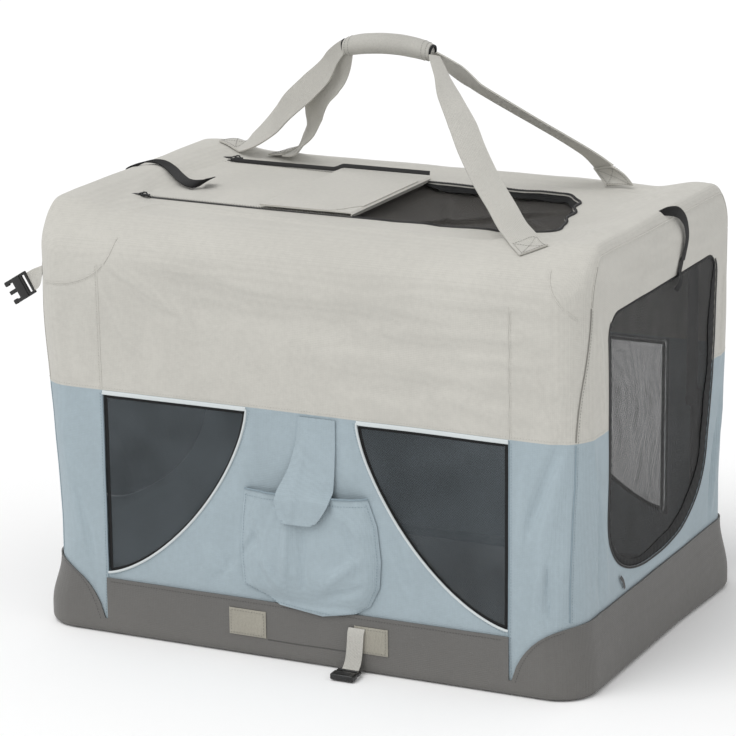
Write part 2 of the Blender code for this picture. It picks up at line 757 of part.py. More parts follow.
def build_roof_frame():
    """An arch over each pair of legs, and two rails plugged into the arches' sockets."""
    bend_y, bend_z = LOWER_Y - ARCH_BEND_R, ARCH_Z - ARCH_BEND_R
    half = [(LOWER_Y, UPPER_PIVOT_Z - LEG_END)] + arc((bend_y, bend_z), ARCH_BEND_R, 0, 90)
    profile = half + [(-y, z) for y, z in reversed(half)]
    for side, name in ((-1, "left"), (1, "right")):
        x = side * LEG_X
        points = [(x, y, z) for y, z in profile]
        mesh = tube_mesh(f"roof_arch_{name}", points, TUBE_R)
        arch = place(f"roof_arch_{name}", mesh, PAINTED_STEEL)
        mouth = x - side * SOCKET_LENGTH
        for face, face_name in ((-1, "front"), (1, "back")):
            y = face * RAIL_Y
            label = f"{name}_{face_name}"
            socket = rod_mesh(f"socket_{label}", (x, y, ARCH_Z), (mouth, y, ARCH_Z), TUBE_R)
            bore_end = mouth + side * SOCKET_DEPTH
            bore_start = mouth - side * OVERRUN
            bore = rod_mesh(
                f"bore_{label}", (bore_start, y, ARCH_Z), (bore_end, y, ARCH_Z), RAIL_R + GAP
            )
            join(arch, place(f"socket_{label}", socket, None, CUTTERS))
            cut(arch, place(f"bore_{label}", bore, None, CUTTERS))
            leg_pin(arch, f"top_{label}", x, face, UPPER_PIVOT_Z)
        smooth(arch)
    rail_half = LEG_X - SOCKET_LENGTH + SOCKET_DEPTH - GAP
    for face, name in ((-1, "front"), (1, "back")):
        y = face * RAIL_Y
        mesh = rod_mesh(
            f"roof_rail_{name}", (-rail_half, y, ARCH_Z), (rail_half, y, ARCH_Z), RAIL_R
        )
        smooth(place(f"roof_rail_{name}", mesh, PAINTED_STEEL))


def build_floor():
    """A stiff board in the ring, with a crowned mat on it."""
    half_l = RING_X - TUBE_R - BOARD_INSET
    half_w = RING_Y - TUBE_R - BOARD_INSET
    radius = CAP_R - TUBE_R
    outline = rounded_rect((-half_l, -half_w), (half_l, half_w), (radius,) * 4, 4)
    low = TUB_WALL + GAP
    board = plate_mesh("floor_board", [outline], BOARD, FLOOR_PLANE, (0, 0, low + BOARD / 2))
    place("floor_board", board, BOARD_PLASTIC)
    build_mat(low + BOARD + GAP)


def build_mat(low):
    """A thin cushion: full in the middle, drawn in towards a rounded edge."""
    half_l = RING_X - TUBE_R - MAT_INSET
    half_w = RING_Y - TUBE_R - MAT_INSET
    bm = bmesh.new()
    bmesh.ops.create_grid(
        bm, x_segments=MAT_CELLS[0], y_segments=MAT_CELLS[1], size=1.0, matrix=FLOOR_PLANE
    )
    made = bmesh.ops.extrude_face_region(bm, geom=bm.faces[:])
    top = {v for v in made["geom"] if isinstance(v, bmesh.types.BMVert)}
    for vert in bm.verts:
        u, v = vert.co.x, vert.co.y
        x, y = round_corner(u * half_l, v * half_w, half_l, half_w, MAT_CORNER_R)
        crown = (1 - abs(u) ** 4) * (1 - abs(v) ** 4)
        thickness = MAT_EDGE + (MAT_CROWN - MAT_EDGE) * crown
        vert.co = (x, y, low + thickness if vert in top else low)
    bmesh.ops.recalc_face_normals(bm, faces=bm.faces[:])
    mat = place("floor_mat", mesh_from(bm, "floor_mat"), MAT_CLOTH)
    mod = mat.modifiers.new("edge", "BEVEL")
    mod.width = MAT_EDGE / 4
    mod.segments = 2
    mod.limit_method = "ANGLE"
    mod.angle_limit = radians(50)
    smooth(mat)


def round_corner(x, y, half_l, half_w, radius):
    """Draws a point of a rectangle's corner square in to a round corner."""
    dx, dy = abs(x) - (half_l - radius), abs(y) - (half_w - radius)
    if dx <= 0 or dy <= 0:
        return x, y
    reach = max(dx, dy)
    length = sqrt(dx * dx + dy * dy)
    dx, dy = dx * reach / length, dy * reach / length
    sign_x = 1 if x > 0 else -1
    sign_y = 1 if y > 0 else -1
    return sign_x * (half_l - radius + dx), sign_y * (half_w - radius + dy)


def hatch_outline(extra, left=HATCH_LEFT_X, right=HATCH_RIGHT_X):
    return rounded_rect(
        (left - extra, -HATCH_HALF - extra),
        (right + extra, HATCH_HALF + extra),
        (HATCH_BACK_R + extra, HATCH_END_R + extra, HATCH_END_R + extra, HATCH_BACK_R + extra),
    )


def soften_shoulders(mesh):
    """Lets the roof fall away towards its two long edges, as cloth over a bent arch does."""
    bm = bmesh.new()
    bm.from_mesh(mesh)
    reach = CAP_W - SHOULDER_Y
    for step in range(SHOULDER_LINES):
        y = SHOULDER_Y + reach * step / ARC_STEPS
        for face in (-1, 1):
            bmesh.ops.bisect_plane(
                bm,
                geom=bm.verts[:] + bm.edges[:] + bm.faces[:],
                dist=GAP / 10,
                plane_co=(0, face * y, 0),
                plane_no=(0, 1, 0),
            )
    for vert in bm.verts:
        out = (abs(vert.co.y) - SHOULDER_Y) / reach
        if out > 0 and vert.co.z > HEIGHT - CAP_EDGE_R - GAP:
            vert.co.z -= SHOULDER_DROP * out * out
    bm.to_mesh(mesh)
    bm.free()
    return mesh


def build_cap():
    """The beige roof, a shallow lid whose skirt slides inside the walls when the crate folds."""
    mesh = open_box_mesh(
        "roof_cap", CAP_L, CAP_W, WALL_TOP_Z - CAP_LAP, HEIGHT, CAP_R, CAP_EDGE_R, open_top=False
    )
    soften_shoulders(mesh)
    cap = solidify(place("roof_cap", mesh, BEIGE_CLOTH), CAP)
    centre = (0, 0, HEIGHT - CAP / 2)
    hole = plate_mesh("hatch_cut", [hatch_outline(0.0)], CAP + 2 * OVERRUN, FLOOR_PLANE, centre)
    cut(cap, place("hatch_cut", hole, None, CUTTERS))
    smooth(cap)
    net_z = HEIGHT - CAP - GAP - MESH / 2
    net = plate_mesh("hatch_mesh", [hatch_outline(MESH_LAP)], MESH, FLOOR_PLANE, (0, 0, net_z))
    place("hatch_mesh", net, BLACK_NETTING)


def build_hatch_cover():
    """The part that lies shut, and the part that is folded back twice on top of it."""
    edge = HATCH_HALF + HATCH_LAP
    small = HATCH_BACK_R
    lying = rounded_rect(
        (HATCH_LEFT_X - HATCH_LAP, -edge), (FOLD_X, edge), (small, GAP, GAP, small), 3
    )
    mesh = plate_mesh("hatch_cover", [lying], COVER, FLOOR_PLANE, (0, 0, COVER_Z + COVER / 2))
    place("hatch_cover", mesh, BEIGE_CLOTH)
    first = rounded_rect((FOLD_X - FLAP_LENGTH, -edge), (FOLD_X - GAP, edge), (GAP,) * 4, 1)
    mesh = plate_mesh(
        "hatch_flap_inner", [first], COVER, FLOOR_PLANE, (0, 0, FOLD_Z + GAP + COVER / 2)
    )
    place("hatch_flap_inner", mesh, BEIGE_CLOTH, origin=(FOLD_X, 0, FOLD_Z))
    second_fold = FOLD_X - FLAP_LENGTH
    round_end = HATCH_END_R
    second = rounded_rect(
        (second_fold + GAP, -edge), (FOLD_X, edge), (GAP, round_end, round_end, GAP)
    )
    mesh = plate_mesh(
        "hatch_flap_outer", [second], COVER, FLOOR_PLANE, (0, 0, SECOND_FOLD_Z + GAP + COVER / 2)
    )
    place("hatch_flap_outer", mesh, BEIGE_CLOTH, origin=(second_fold, 0, SECOND_FOLD_Z))


def build_hatch_zip():
    """One track round three sides of the hatch, and the two sliders parked at its left ends."""
    inner = ZIP_Y - ZIP_W / 2
    outer = ZIP_Y + ZIP_W / 2
    inner_r = HATCH_END_R + inner - HATCH_HALF
    outer_r = inner_r + ZIP_W
    left = HATCH_LEFT_X - HATCH_LAP
    inner_x = HATCH_RIGHT_X + inner - HATCH_HALF
    outer_x = inner_x + ZIP_W
    outline = [(left, -outer)]
    outline += arc((outer_x - outer_r, -outer + outer_r), outer_r, 270, 360)
    outline += arc((outer_x - outer_r, outer - outer_r), outer_r, 0, 90)
    outline += [(left, outer), (left, inner)]
    outline += arc((inner_x - inner_r, inner - inner_r), inner_r, 90, 0)
    outline += arc((inner_x - inner_r, -inner + inner_r), inner_r, 360, 270)
    outline += [(left, -inner)]
    centre = (0, 0, HEIGHT + GAP + ZIP_THICK / 2)
    mesh = plate_mesh("hatch_zip", [outline], ZIP_THICK, FLOOR_PLANE, centre)
    place("hatch_zip", mesh, BLACK_CLOTH)
    for face, name in ((-1, "front"), (1, "back")):
        build_slider(name, face * (ZIP_Y + SLIDER_W / 2 - ZIP_W / 2))


def build_slider(name, y):
    low = HEIGHT + GAP + ZIP_THICK + GAP
    body = box_mesh(
        f"zip_slider_{name}",
        (SLIDER_X - SLIDER_LENGTH / 2, y - SLIDER_W / 2, low),
        (SLIDER_X + SLIDER_LENGTH / 2, y + SLIDER_W / 2, low + SLIDER_THICK),
        SLIDER_THICK / 4,
    )
    slider = place(f"zip_slider_{name}", body, BLACK_PLASTIC, origin=(SLIDER_X, y, low))
    reach = SLIDER_LENGTH / 2 + PULL_LENGTH
    pull_low = low + SLIDER_THICK / 2
    pull = box_mesh(
        f"pull_{name}",
        (SLIDER_X - reach, y - PULL_W / 2, pull_low),
        (SLIDER_X, y + PULL_W / 2, pull_low + PULL_THICK),
        PULL_THICK / 4,
    )
    join(slider, place(f"pull_{name}", pull, None, CUTTERS))


def bezier(p0, p1, p2, p3, t):
    s = 1 - t
    return s**3 * p0 + 3 * s**2 * t * p1 + 3 * s * t**2 * p2 + t**3 * p3


def ribbon(name, stations, thickness, finish, origin=None):
    """A strap: a strip through stations of centre, crosswise direction and width, made solid."""
    bm = bmesh.new()
    rows = []
    for centre, across, width in stations:
        across = across.normalized() * (width / 2)
        rows.append((bm.verts.new(centre - across), bm.verts.new(centre + across)))
    for (a, b), (c, d) in zip(rows, rows[1:]):
        bm.faces.new((a, b, d, c))
    obj = place(name, mesh_from(bm, name), finish, origin=origin)
    mod = obj.modifiers.new("shell", "SOLIDIFY")
    mod.thickness = thickness
    mod.offset = 0.0
    mod.use_even_offset = True
    return smooth(obj)


def strap_neck(name, side, face):
    """Where a strap enters the grip and how wide it is there."""
    reach = GRIP_LENGTH / 2 + 2 * GAP
    if side > 0:
        return Vector((reach, GRIP_Y + face * SIDE_NECK_Y, GRIP_Z)), SIDE_NECK_W
    stack = -face * (STRAP_THICK / 2 + GAP)
    return Vector((-reach, GRIP_Y, GRIP_Z + stack)), STACKED_NECK_W


def build_strap(name):
    """One leg of the handle, from its sewn foot on the roof up to the grip's end."""
    side = 1 if name.endswith("right") else -1
    face = -1 if name.startswith("front") else 1
    end_inset, side_inset = FOOT_INSETS[name]
    foot = Vector(
        (
            side * (HALF_L - end_inset),
            FOOT_SIDES[name] * (HALF_W - side_inset),
            HEIGHT + GAP + STRAP_THICK / 2,
        )
    )
    turn = radians(FOOT_TURNS[name])
    outward = Vector((cos(turn), sin(turn), 0))
    neck, neck_w = strap_neck(name, side, face)
    start = foot - outward * (STRAP_FOOT / 2)
    span = (neck - start).length
    rise = (neck - start).normalized()
    slope = 4 * GRIP_RISE / GRIP_LENGTH
    p1 = start + (rise - outward).normalized() * span * STRAP_FOOT_SHARE
    p2 = neck + Vector((side, 0, -slope)).normalized() * span * STRAP_NECK_SHARE
    flat_across = outward.cross(Vector((0, 0, 1)))
    neck_across = Vector((0, -side, 0))
    if flat_across.dot(neck_across) < 0:
        flat_across = -flat_across
    stations = [(foot + outward * (STRAP_FOOT / 2), flat_across, STRAP_W)]
    for i in range(STRAP_STEPS + 1):
        t = i / STRAP_STEPS
        across = flat_across.lerp(neck_across, t)
        point = bezier(start, p1, p2, neck, t)
        fullness = min(1.0, (neck - point).length / (span * STRAP_SPREAD_SHARE))
        stations.append((point, across, neck_w + (STRAP_W - neck_w) * fullness))
    ribbon(f"handle_strap_{name}", stations, STRAP_THICK, BEIGE_WEBBING)


def build_handle():
    points = []
    for i in range(ARC_STEPS + 1):
        share = 2 * i / ARC_STEPS - 1
        z = GRIP_Z + GRIP_RISE * (1 - share * share)
        points.append((share * GRIP_LENGTH / 2, GRIP_Y, z))
    grip = place("handle_grip", tube_mesh("handle_grip", points, GRIP_R), BEIGE_WEBBING)
    smooth(grip)
    for name in FOOT_INSETS:
        build_strap(name)


def build_pocket():
    """A cloth pouch sewn to the front on three sides, its mouth standing off the wall."""
    bm = bmesh.new()
    bmesh.ops.create_grid(
        bm, x_segments=POCKET_CELLS[0], y_segments=POCKET_CELLS[1], size=1.0, matrix=FLOOR_PLANE
    )
    wall_y = -WALL_W - GAP - POCKET_CLOTH
    height = POCKET_TOP_Z - POCKET_FOOT_Z
    for vert in bm.verts:
        u, v = vert.co.x, (vert.co.y + 1) / 2
        swell = (1 - abs(u) ** POCKET_POWER) * (1 - (1 - v) ** POCKET_POWER)
        depth = POCKET_DEPTH + (POCKET_MOUTH - POCKET_DEPTH) * v
        draw = 1 - (1 - v) ** 4 / 4
        x = POCKET_X + u * POCKET_HALF * draw
        vert.co = (x, wall_y - depth * swell, POCKET_FOOT_Z + v * height)
    bmesh.ops.recalc_face_normals(bm, faces=bm.faces[:])
    if sum(f.normal.y for f in bm.faces) > 0:
        bmesh.ops.reverse_faces(bm, faces=bm.faces[:])
    solidify(smooth(place("pocket", mesh_from(bm, "pocket"), BLUE_CLOTH)), POCKET_CLOTH)


def build_pocket_tab():
    """A tab that hangs from the colour line and closes over the pocket's mouth."""
    near = -WALL_W - GAP - TAB_THICK / 2
    far = -WALL_W - 2 * GAP - POCKET_CLOTH - POCKET_MOUTH - TAB_THICK - GAP
    drop = (TAB_TOP_Z - POCKET_TOP_Z) / 3
    stations = []
    across = Vector((1, 0, 0))
    for y, z in (
        (near, TAB_TOP_Z),
        (near, TAB_TOP_Z - drop),
        (near * 2 / 3 + far / 3, TAB_TOP_Z - 2 * drop),
        (far, POCKET_TOP_Z + drop / 3),
        (far - POCKET_CLOTH, TAB_FOOT_Z),
    ):
        stations.append((Vector((TAB_X, y, z)), across, TAB_W))
    ribbon("pocket_tab", stations, TAB_THICK, BLUE_CLOTH, origin=(TAB_X, near, TAB_TOP_Z))


def prong_outline(end, half):
    """The three prongs at the end of a plug buckle."""
    outline = []
    for middle in (PRONG_W / 2 - half, 0, half - PRONG_W / 2):
        low, high = middle - PRONG_W / 2, middle + PRONG_W / 2
        outline += [(end, low), (BUCKLE_LENGTH, low), (BUCKLE_LENGTH, high), (end, high)]
    return outline


def buckle(name, start, along, across, hinge, plug):
    """One half of a moulded release buckle: a slotted end for the webbing, and a body."""
    along, across = along.normalized(), across.normalized()
    frame = Matrix((along, across, along.cross(across))).transposed().to_4x4()
    half = BUCKLE_W / 2
    end = BUCKLE_LENGTH - PRONG_LENGTH if plug else SOCKET_BUCKLE_LENGTH
    outline = [(0, -half), (end, -half)]
    if plug:
        outline += prong_outline(end, half)
    outline += [(end, half), (0, half)]
    outline = [p for i, p in enumerate(outline) if p != outline[i - 1]]
    slot_half = WEBBING_W / 2 + GAP
    slot_end = BUCKLE_BAR + BUCKLE_SLOT
    slot = [(BUCKLE_BAR, -slot_half), (slot_end, -slot_half)]
    slot += [(slot_end, slot_half), (BUCKLE_BAR, slot_half)]
    mesh = plate_mesh(name, [outline, slot], BUCKLE_THICK, frame, start)
    obj = place(name, mesh, BLACK_PLASTIC, origin=hinge)
    mod = obj.modifiers.new("edge", "BEVEL")
    mod.width = BUCKLE_EDGE
    mod.segments = 1
    mod.limit_method = "ANGLE"
    mod.angle_limit = radians(50)
    return obj


def build_corner_buckle():
    """Webbing that hangs over the left end near the front, with its buckle standing out."""
    x = -WALL_L - GAP - WEBBING_THICK / 2
    hinge = (x, CORNER_WEB_Y, CORNER_WEB_TOP_Z)
    tip = Vector((x - CORNER_WEB_OUT, CORNER_WEB_Y, CORNER_WEB_BEND_Z - CORNER_WEB_DROP))
    bend = Vector((x, CORNER_WEB_Y, CORNER_WEB_BEND_Z))
    across = Vector((0, 1, 0))
    mid = (bend + tip) / 2 + Vector((0, 0, WEBBING_THICK))
    stations = [(Vector(hinge), across, WEBBING_W), (bend, across, WEBBING_W)]
    stations += [(mid, across, WEBBING_W), (tip, across, WEBBING_W)]
    ribbon("corner_webbing", stations, WEBBING_THICK, BEIGE_WEBBING, origin=hinge)
    along = (tip - mid).normalized()
    buckle("corner_buckle", tip + along * GAP, along, across, hinge, plug=True)


def build_base_patches():
    y = -HALF_W - GAP
    for name, x, width in (
        ("left", LEFT_PATCH_X, LEFT_PATCH_W),
        ("right", RIGHT_PATCH_X, RIGHT_PATCH_W),
    ):
        mesh = box_mesh(
            f"base_patch_{name}",
            (x - width / 2, y - PATCH_THICK, PATCH_Z - PATCH_H / 2),
            (x + width / 2, y, PATCH_Z + PATCH_H / 2),
            PATCH_THICK / 4,
        )
        place(f"base_patch_{name}", mesh, BEIGE_WEBBING)


def build_closure():
    """A short webbing tail on the front of the base, with its buckle down on the floor."""
    y = -HALF_W - GAP - PATCH_THICK - GAP - WEBBING_THICK / 2
    hinge = (CLOSURE_X, y, CLOSURE_TOP_Z)
    across = Vector((1, 0, 0))
    bend = Vector((CLOSURE_X, y, CLOSURE_BEND_Z))
    tip = Vector((CLOSURE_X, y - CLOSURE_OUT, CLOSURE_FOOT_Z))
    stations = [(Vector(hinge), across, WEBBING_W), (bend, across, WEBBING_W)]
    stations += [(tip, across, WEBBING_W)]
    ribbon("closure_webbing", stations, WEBBING_THICK, BEIGE_WEBBING, origin=hinge)
    along = Vector((0, -1, -BUCKLE_THICK / BUCKLE_LENGTH)).normalized()
    buckle("closure_buckle", tip + along * GAP * 4, along, across, hinge, plug=False)


def parent_moving_pieces():
    """Each moving group hangs from an empty on its joint's axis."""
    groups = {
        "roof_lift": (
            (-LEG_X, -LOWER_Y, UPPER_PIVOT_Z),
            [
                "roof_cap", "hatch_mesh", "hatch_cover", "hatch_zip",
                "roof_arch_left", "roof_arch_right", "roof_rail_front", "roof_rail_back",
                "left_roof_tie", "right_roof_tie",
                "handle_strap_front_left", "handle_strap_front_right",
                "handle_strap_back_left", "handle_strap_back_right",
            ],
        ),
        "grip_drop": ((0, GRIP_Y, GRIP_Z), ["handle_grip"]),
    }
    for name, (point, children) in groups.items():
        empty = bpy.data.objects.new(name, None)
        PARTS.objects.link(empty)
        empty.location = point
        bpy.context.view_layer.update()
        for child in children:
            obj = bpy.data.objects[child]
            obj.parent = empty
            obj.matrix_parent_inverse = empty.matrix_world.inverted()


def build_crate():
    build_tub()
    build_base_ring()
    build_floor()
    build_long_walls()
    build_windows()
    build_end_walls()
    build_doors()
    build_ties()
    build_legs()
    build_roof_frame()
    build_cap()
    build_hatch_cover()
    build_hatch_zip()
    build_handle()
    build_pocket()
    build_pocket_tab()
    build_corner_buckle()
    build_base_patches()
    build_closure()
    parent_moving_pieces()


build_crate()
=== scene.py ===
from itertools import groupby
from math import acos, cos, exp, hypot, pi, radians, sin, sqrt

import bmesh
import bpy
from mathutils import Matrix, Vector, noise


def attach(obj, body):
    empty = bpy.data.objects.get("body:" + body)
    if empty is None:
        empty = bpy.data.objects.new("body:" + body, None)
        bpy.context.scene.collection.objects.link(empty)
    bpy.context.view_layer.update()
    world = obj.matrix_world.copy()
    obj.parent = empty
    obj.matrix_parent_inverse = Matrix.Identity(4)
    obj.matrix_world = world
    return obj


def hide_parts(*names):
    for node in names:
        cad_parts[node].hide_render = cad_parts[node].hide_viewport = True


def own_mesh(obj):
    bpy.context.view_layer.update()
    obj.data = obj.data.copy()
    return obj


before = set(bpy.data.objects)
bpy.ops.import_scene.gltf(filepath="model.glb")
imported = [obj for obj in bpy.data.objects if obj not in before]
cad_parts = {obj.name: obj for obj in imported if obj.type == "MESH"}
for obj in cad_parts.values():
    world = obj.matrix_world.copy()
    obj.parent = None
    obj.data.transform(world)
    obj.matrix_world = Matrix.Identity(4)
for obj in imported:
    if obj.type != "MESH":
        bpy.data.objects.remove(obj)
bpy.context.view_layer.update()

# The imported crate's main sizes in metres
WALL_L, WALL_W, WALL_R = 0.4067, 0.2867, 0.0517  # outer faces of the cloth walls and their corners
TUB_L, TUB_W, TUB_R = 0.410, 0.290, 0.055
WALL_FOOT_Z, COLOUR_LINE_Z, WALL_TOP_Z = 0.013, 0.352, 0.530
ROOF_Z = 0.590
TUB_RIM_Z, DISC_R, SEAM_X, SPIKE_Z = 0.082, 0.104, 0.304, 0.022
CLOTH = 0.0016  # thickness of the coated cloth with its lining
HAIR = 0.00002  # gap between cloths that are sewn edge to edge

SEWN = 0.036  # length of handle strap that is sewn to the roof


# ---------------------------------------------------------------- camera

def place_camera():
    """The photo's viewpoint, found by fitting the crate's corners and edges to it."""
    azimuth, elevation, roll = radians(25.925), radians(15.155), radians(-0.696)
    back = Vector((sin(azimuth) * cos(elevation), -cos(azimuth) * cos(elevation), sin(elevation)))
    level = Vector((cos(azimuth), sin(azimuth), 0))
    upright = back.cross(level)
    right = cos(roll) * level + sin(roll) * upright
    up = cos(roll) * upright - sin(roll) * level
    data = bpy.data.cameras.new("camera")
    data.sensor_width = 36.0
    data.lens = 167.3
    camera = bpy.data.objects.new("camera", data)
    bpy.context.scene.collection.objects.link(camera)
    turn = Matrix((right, up, back)).transposed().to_4x4()
    place = Vector((-0.0371, 0.0, 0.3405)) + back * 4.826
    camera.matrix_world = Matrix.Translation(place) @ turn
    data.clip_start, data.clip_end = 0.1, 60.0
    bpy.context.scene.camera = camera


# ---------------------------------------------------------------- materials

def linear(code, factor=1.0, lift=0.0):
    """An sRGB hex colour as linear light, made darker or lighter."""
    values = [int(code[i:i + 2], 16) / 255 for i in (1, 3, 5)]
    light = [v / 12.92 if v <= 0.04045 else ((v + 0.055) / 1.055) ** 2.4 for v in values]
    return [min(1.0, v * factor + lift) for v in light] + [1.0]


def fill(tree, made, sockets):
    """Sets a node's sockets, or links them from other nodes or their sockets."""
    for socket, value in sockets.items():
        if isinstance(value, bpy.types.Node):
            value = value.outputs[0]
        if isinstance(value, bpy.types.NodeSocket):
            tree.links.new(value, made.inputs[socket])
        else:
            made.inputs[socket].default_value = value


def node(tree, kind, *values, **settings):
    """Adds one node, such as "TexNoise" or "Math ADD"; its sockets are given in order or as a dictionary."""
    kind, _, operation = kind.partition(" ")
    made = tree.nodes.new("ShaderNode" + kind)
    if operation:
        settings["operation"] = operation
    for key, value in settings.items():
        setattr(made, key, value)
    fill(tree, made, values[0] if values and isinstance(values[0], dict) else dict(enumerate(values)))
    return made


def new_material(name, roughness, metallic=0.0, sheen=0.0, specular=0.5):
    """A material with its node tree, its shader, and a place on the object in metres."""
    material = bpy.data.materials.new(name)
    material.use_nodes = True
    tree = material.node_tree
    shader = tree.nodes["Principled BSDF"]
    fill(tree, shader, {
        "Roughness": roughness, "Metallic": metallic, "Sheen Weight": sheen, "Specular IOR Level": specular,
    })
    return material, tree, shader, node(tree, "TexCoord").outputs["Object"]


def woven_cloth(name, code, pitch, relief, roughness, sheen, mottle=0.04, soil=0.05):
    """Plain weave on any upright or level face: ridges along X, Y and Z, of which two always show."""
    material, tree, shader, place = new_material(name, roughness, sheen=sheen, specular=0.35)
    axes = node(tree, "SeparateXYZ", place).outputs
    ridges = [node(tree, "Math SINE", node(tree, "Math MULTIPLY", axis, 2 * pi / pitch)) for axis in axes]
    weave = node(tree, "Math ADD", node(tree, "Math ADD", *ridges[:2]), ridges[2])
    slub = node(tree, "TexNoise", {"Vector": place, "Scale": 0.35 / pitch, "Detail": 3.0})
    cloud = node(tree, "TexNoise", {"Vector": place, "Scale": 9.0, "Detail": 2.0})
    tone = node(tree, "Math MULTIPLY_ADD", cloud, 0.8, node(tree, "Math MULTIPLY_ADD", weave, 0.10, slub))
    share = node(tree, "MapRange", tone, 0.55, 1.25, 0.0, 1.0)
    cloth = {0: share, 6: linear(code, 1 - 2 * mottle), 7: linear(code, 1 + mottle)}
    dusty = {
        0: node(tree, "MapRange", axes[2], 0.0, 0.12, soil, 0.0),  # dust in the lowest 120 mm
        6: node(tree, "Mix", cloth, data_type="RGBA").outputs[2],
        7: linear("#8D8880"),
    }
    height = node(tree, "Math MULTIPLY_ADD", slub, 1.6, weave)
    fine = node(tree, "Bump", {"Strength": relief, "Distance": pitch / 4, "Height": height})
    crumple = node(tree, "TexNoise", {"Vector": place, "Scale": 34.0, "Detail": 3.0, "Roughness": 0.45})
    fill(tree, shader, {
        "Base Color": node(tree, "Mix", dusty, data_type="RGBA").outputs[2],
        "Roughness": node(tree, "MapRange", slub, 0.3, 0.7, roughness - 0.06, min(1.0, roughness + 0.05)),
        "Normal": node(tree, "Bump", {"Strength": 0.22, "Distance": 0.004, "Height": crumple, "Normal": fine}),
    })
    return material


def webbing(name, code, rib, relief, roughness=0.75):
    """Narrow woven tape: fine ribs across it, and the warp's lines along it, on the strap's own UV map."""
    sheen = 0.15 if linear(code)[0] > 0.1 else 0.0  # black webbing has none
    material, tree, shader, place = new_material(name, roughness, sheen=sheen, specular=0.3)
    across, along, _ = node(tree, "SeparateXYZ", node(tree, "UVMap")).outputs
    warp_lines = node(tree, "Math SINE", node(tree, "Math MULTIPLY", across, 2 * pi / rib))
    slant = node(tree, "Math MULTIPLY_ADD", across, 0.6, along)
    weft = node(tree, "Math SINE", node(tree, "Math MULTIPLY", slant, 2 * pi / rib))
    height = node(tree, "Math MULTIPLY_ADD", weft, 0.7, warp_lines)
    fibre = node(tree, "TexNoise", {"Vector": place, "Scale": 420.0, "Detail": 3.0})
    cloud = node(tree, "TexNoise", {"Vector": place, "Scale": 14.0, "Detail": 2.0})
    tone = node(tree, "Math MULTIPLY_ADD", cloud, 0.6, node(tree, "Math MULTIPLY_ADD", height, 0.16, fibre))
    share = node(tree, "MapRange", tone, 0.35, 1.25, 0.0, 1.0)
    full = node(tree, "Math MULTIPLY_ADD", fibre, 0.8, height)
    shades = {0: share, 6: linear(code, 0.80), 7: linear(code, 1.06)}
    fill(tree, shader, {
        "Base Color": node(tree, "Mix", shades, data_type="RGBA").outputs[2],
        "Normal": node(tree, "Bump", {"Strength": relief, "Distance": rib / 3, "Height": full}),
    })
    return material


def netting(name, code, mesh, yarn_share, sheen=0.1):
    """Knitted polyester net: round holes in rows, see-through where the holes are, on a UV map in metres."""
    material, tree, shader, place = new_material(name, 0.7, sheen=sheen, specular=0.3)
    u, v, _ = node(tree, "SeparateXYZ", node(tree, "UVMap")).outputs
    rows = []
    for slant in ("ADD", "SUBTRACT"):  # yarns run both ways across the net
        turn = node(tree, "Math MULTIPLY", node(tree, "Math " + slant, u, v), pi / mesh)
        rows.append(node(tree, "Math ABSOLUTE", node(tree, "Math SINE", turn)))
    hole = node(tree, "Math MULTIPLY", *rows)
    cloud = node(tree, "TexNoise", {"Vector": place, "Scale": 12.0, "Detail": 3.0})
    share = node(tree, "MapRange", cloud, 0.35, 0.7, 0.0, 1.0)
    shades = {0: share, 6: linear(code), 7: linear(code, 1.5, 0.003)}
    fill(tree, shader, {
        "Base Color": node(tree, "Mix", shades, data_type="RGBA").outputs[2],
        "Alpha": node(tree, "MapRange", hole, yarn_share - 0.16, yarn_share + 0.16, 1.0, 0.0),
        "Normal": node(tree, "Bump", {"Strength": 0.4, "Distance": mesh / 5, "Height": hole}, invert=True),
    })
    return material


def moulded(name, code, roughness, grain, relief=0.12, metallic=0.0, speckle=0.03):
    """Moulded or powder-coated surface: a fine even grain, and a little change of gloss."""
    material, tree, shader, place = new_material(name, roughness, metallic)
    fine = node(tree, "TexNoise", {"Vector": place, "Scale": 1.0 / grain, "Detail": 4.0})
    broad = node(tree, "TexNoise", {"Vector": place, "Scale": 22.0, "Detail": 3.0})
    share = node(tree, "MapRange", fine, 0.4, 0.7, 0.0, 1.0)
    shades = {0: share, 6: linear(code), 7: linear(code, 1 + speckle, speckle / 6)}
    fill(tree, shader, {
        "Base Color": node(tree, "Mix", shades, data_type="RGBA").outputs[2],
        "Roughness": node(tree, "MapRange", broad, 0.3, 0.7, roughness - 0.07, roughness + 0.08),
        "Normal": node(tree, "Bump", {"Strength": relief, "Distance": grain / 2, "Height": fine}),
    })
    return material


def fleece(name, code, pile):
    """Brushed fleece: a short tufted pile that scatters light at its edges."""
    material, tree, shader, place = new_material(name, 0.95, sheen=0.5, specular=0.2)
    tuft = node(tree, "TexVoronoi", {"Vector": place, "Scale": 1.0 / pile})
    lay = node(tree, "TexNoise", {"Vector": place, "Scale": 18.0, "Detail": 4.0})
    tone = node(tree, "Math MULTIPLY_ADD", tuft, -0.8, lay)
    shades = {0: node(tree, "MapRange", tone, -0.2, 0.6, 0.0, 1.0), 6: linear(code, 0.6), 7: linear(code)}
    height = node(tree, "Math MULTIPLY_ADD", lay, 0.6, tuft)
    fill(tree, shader, {
        "Base Color": node(tree, "Mix", shades, data_type="RGBA").outputs[2],
        "Normal": node(tree, "Bump", {"Strength": 0.7, "Distance": pile, "Height": height}),
    })
    return material


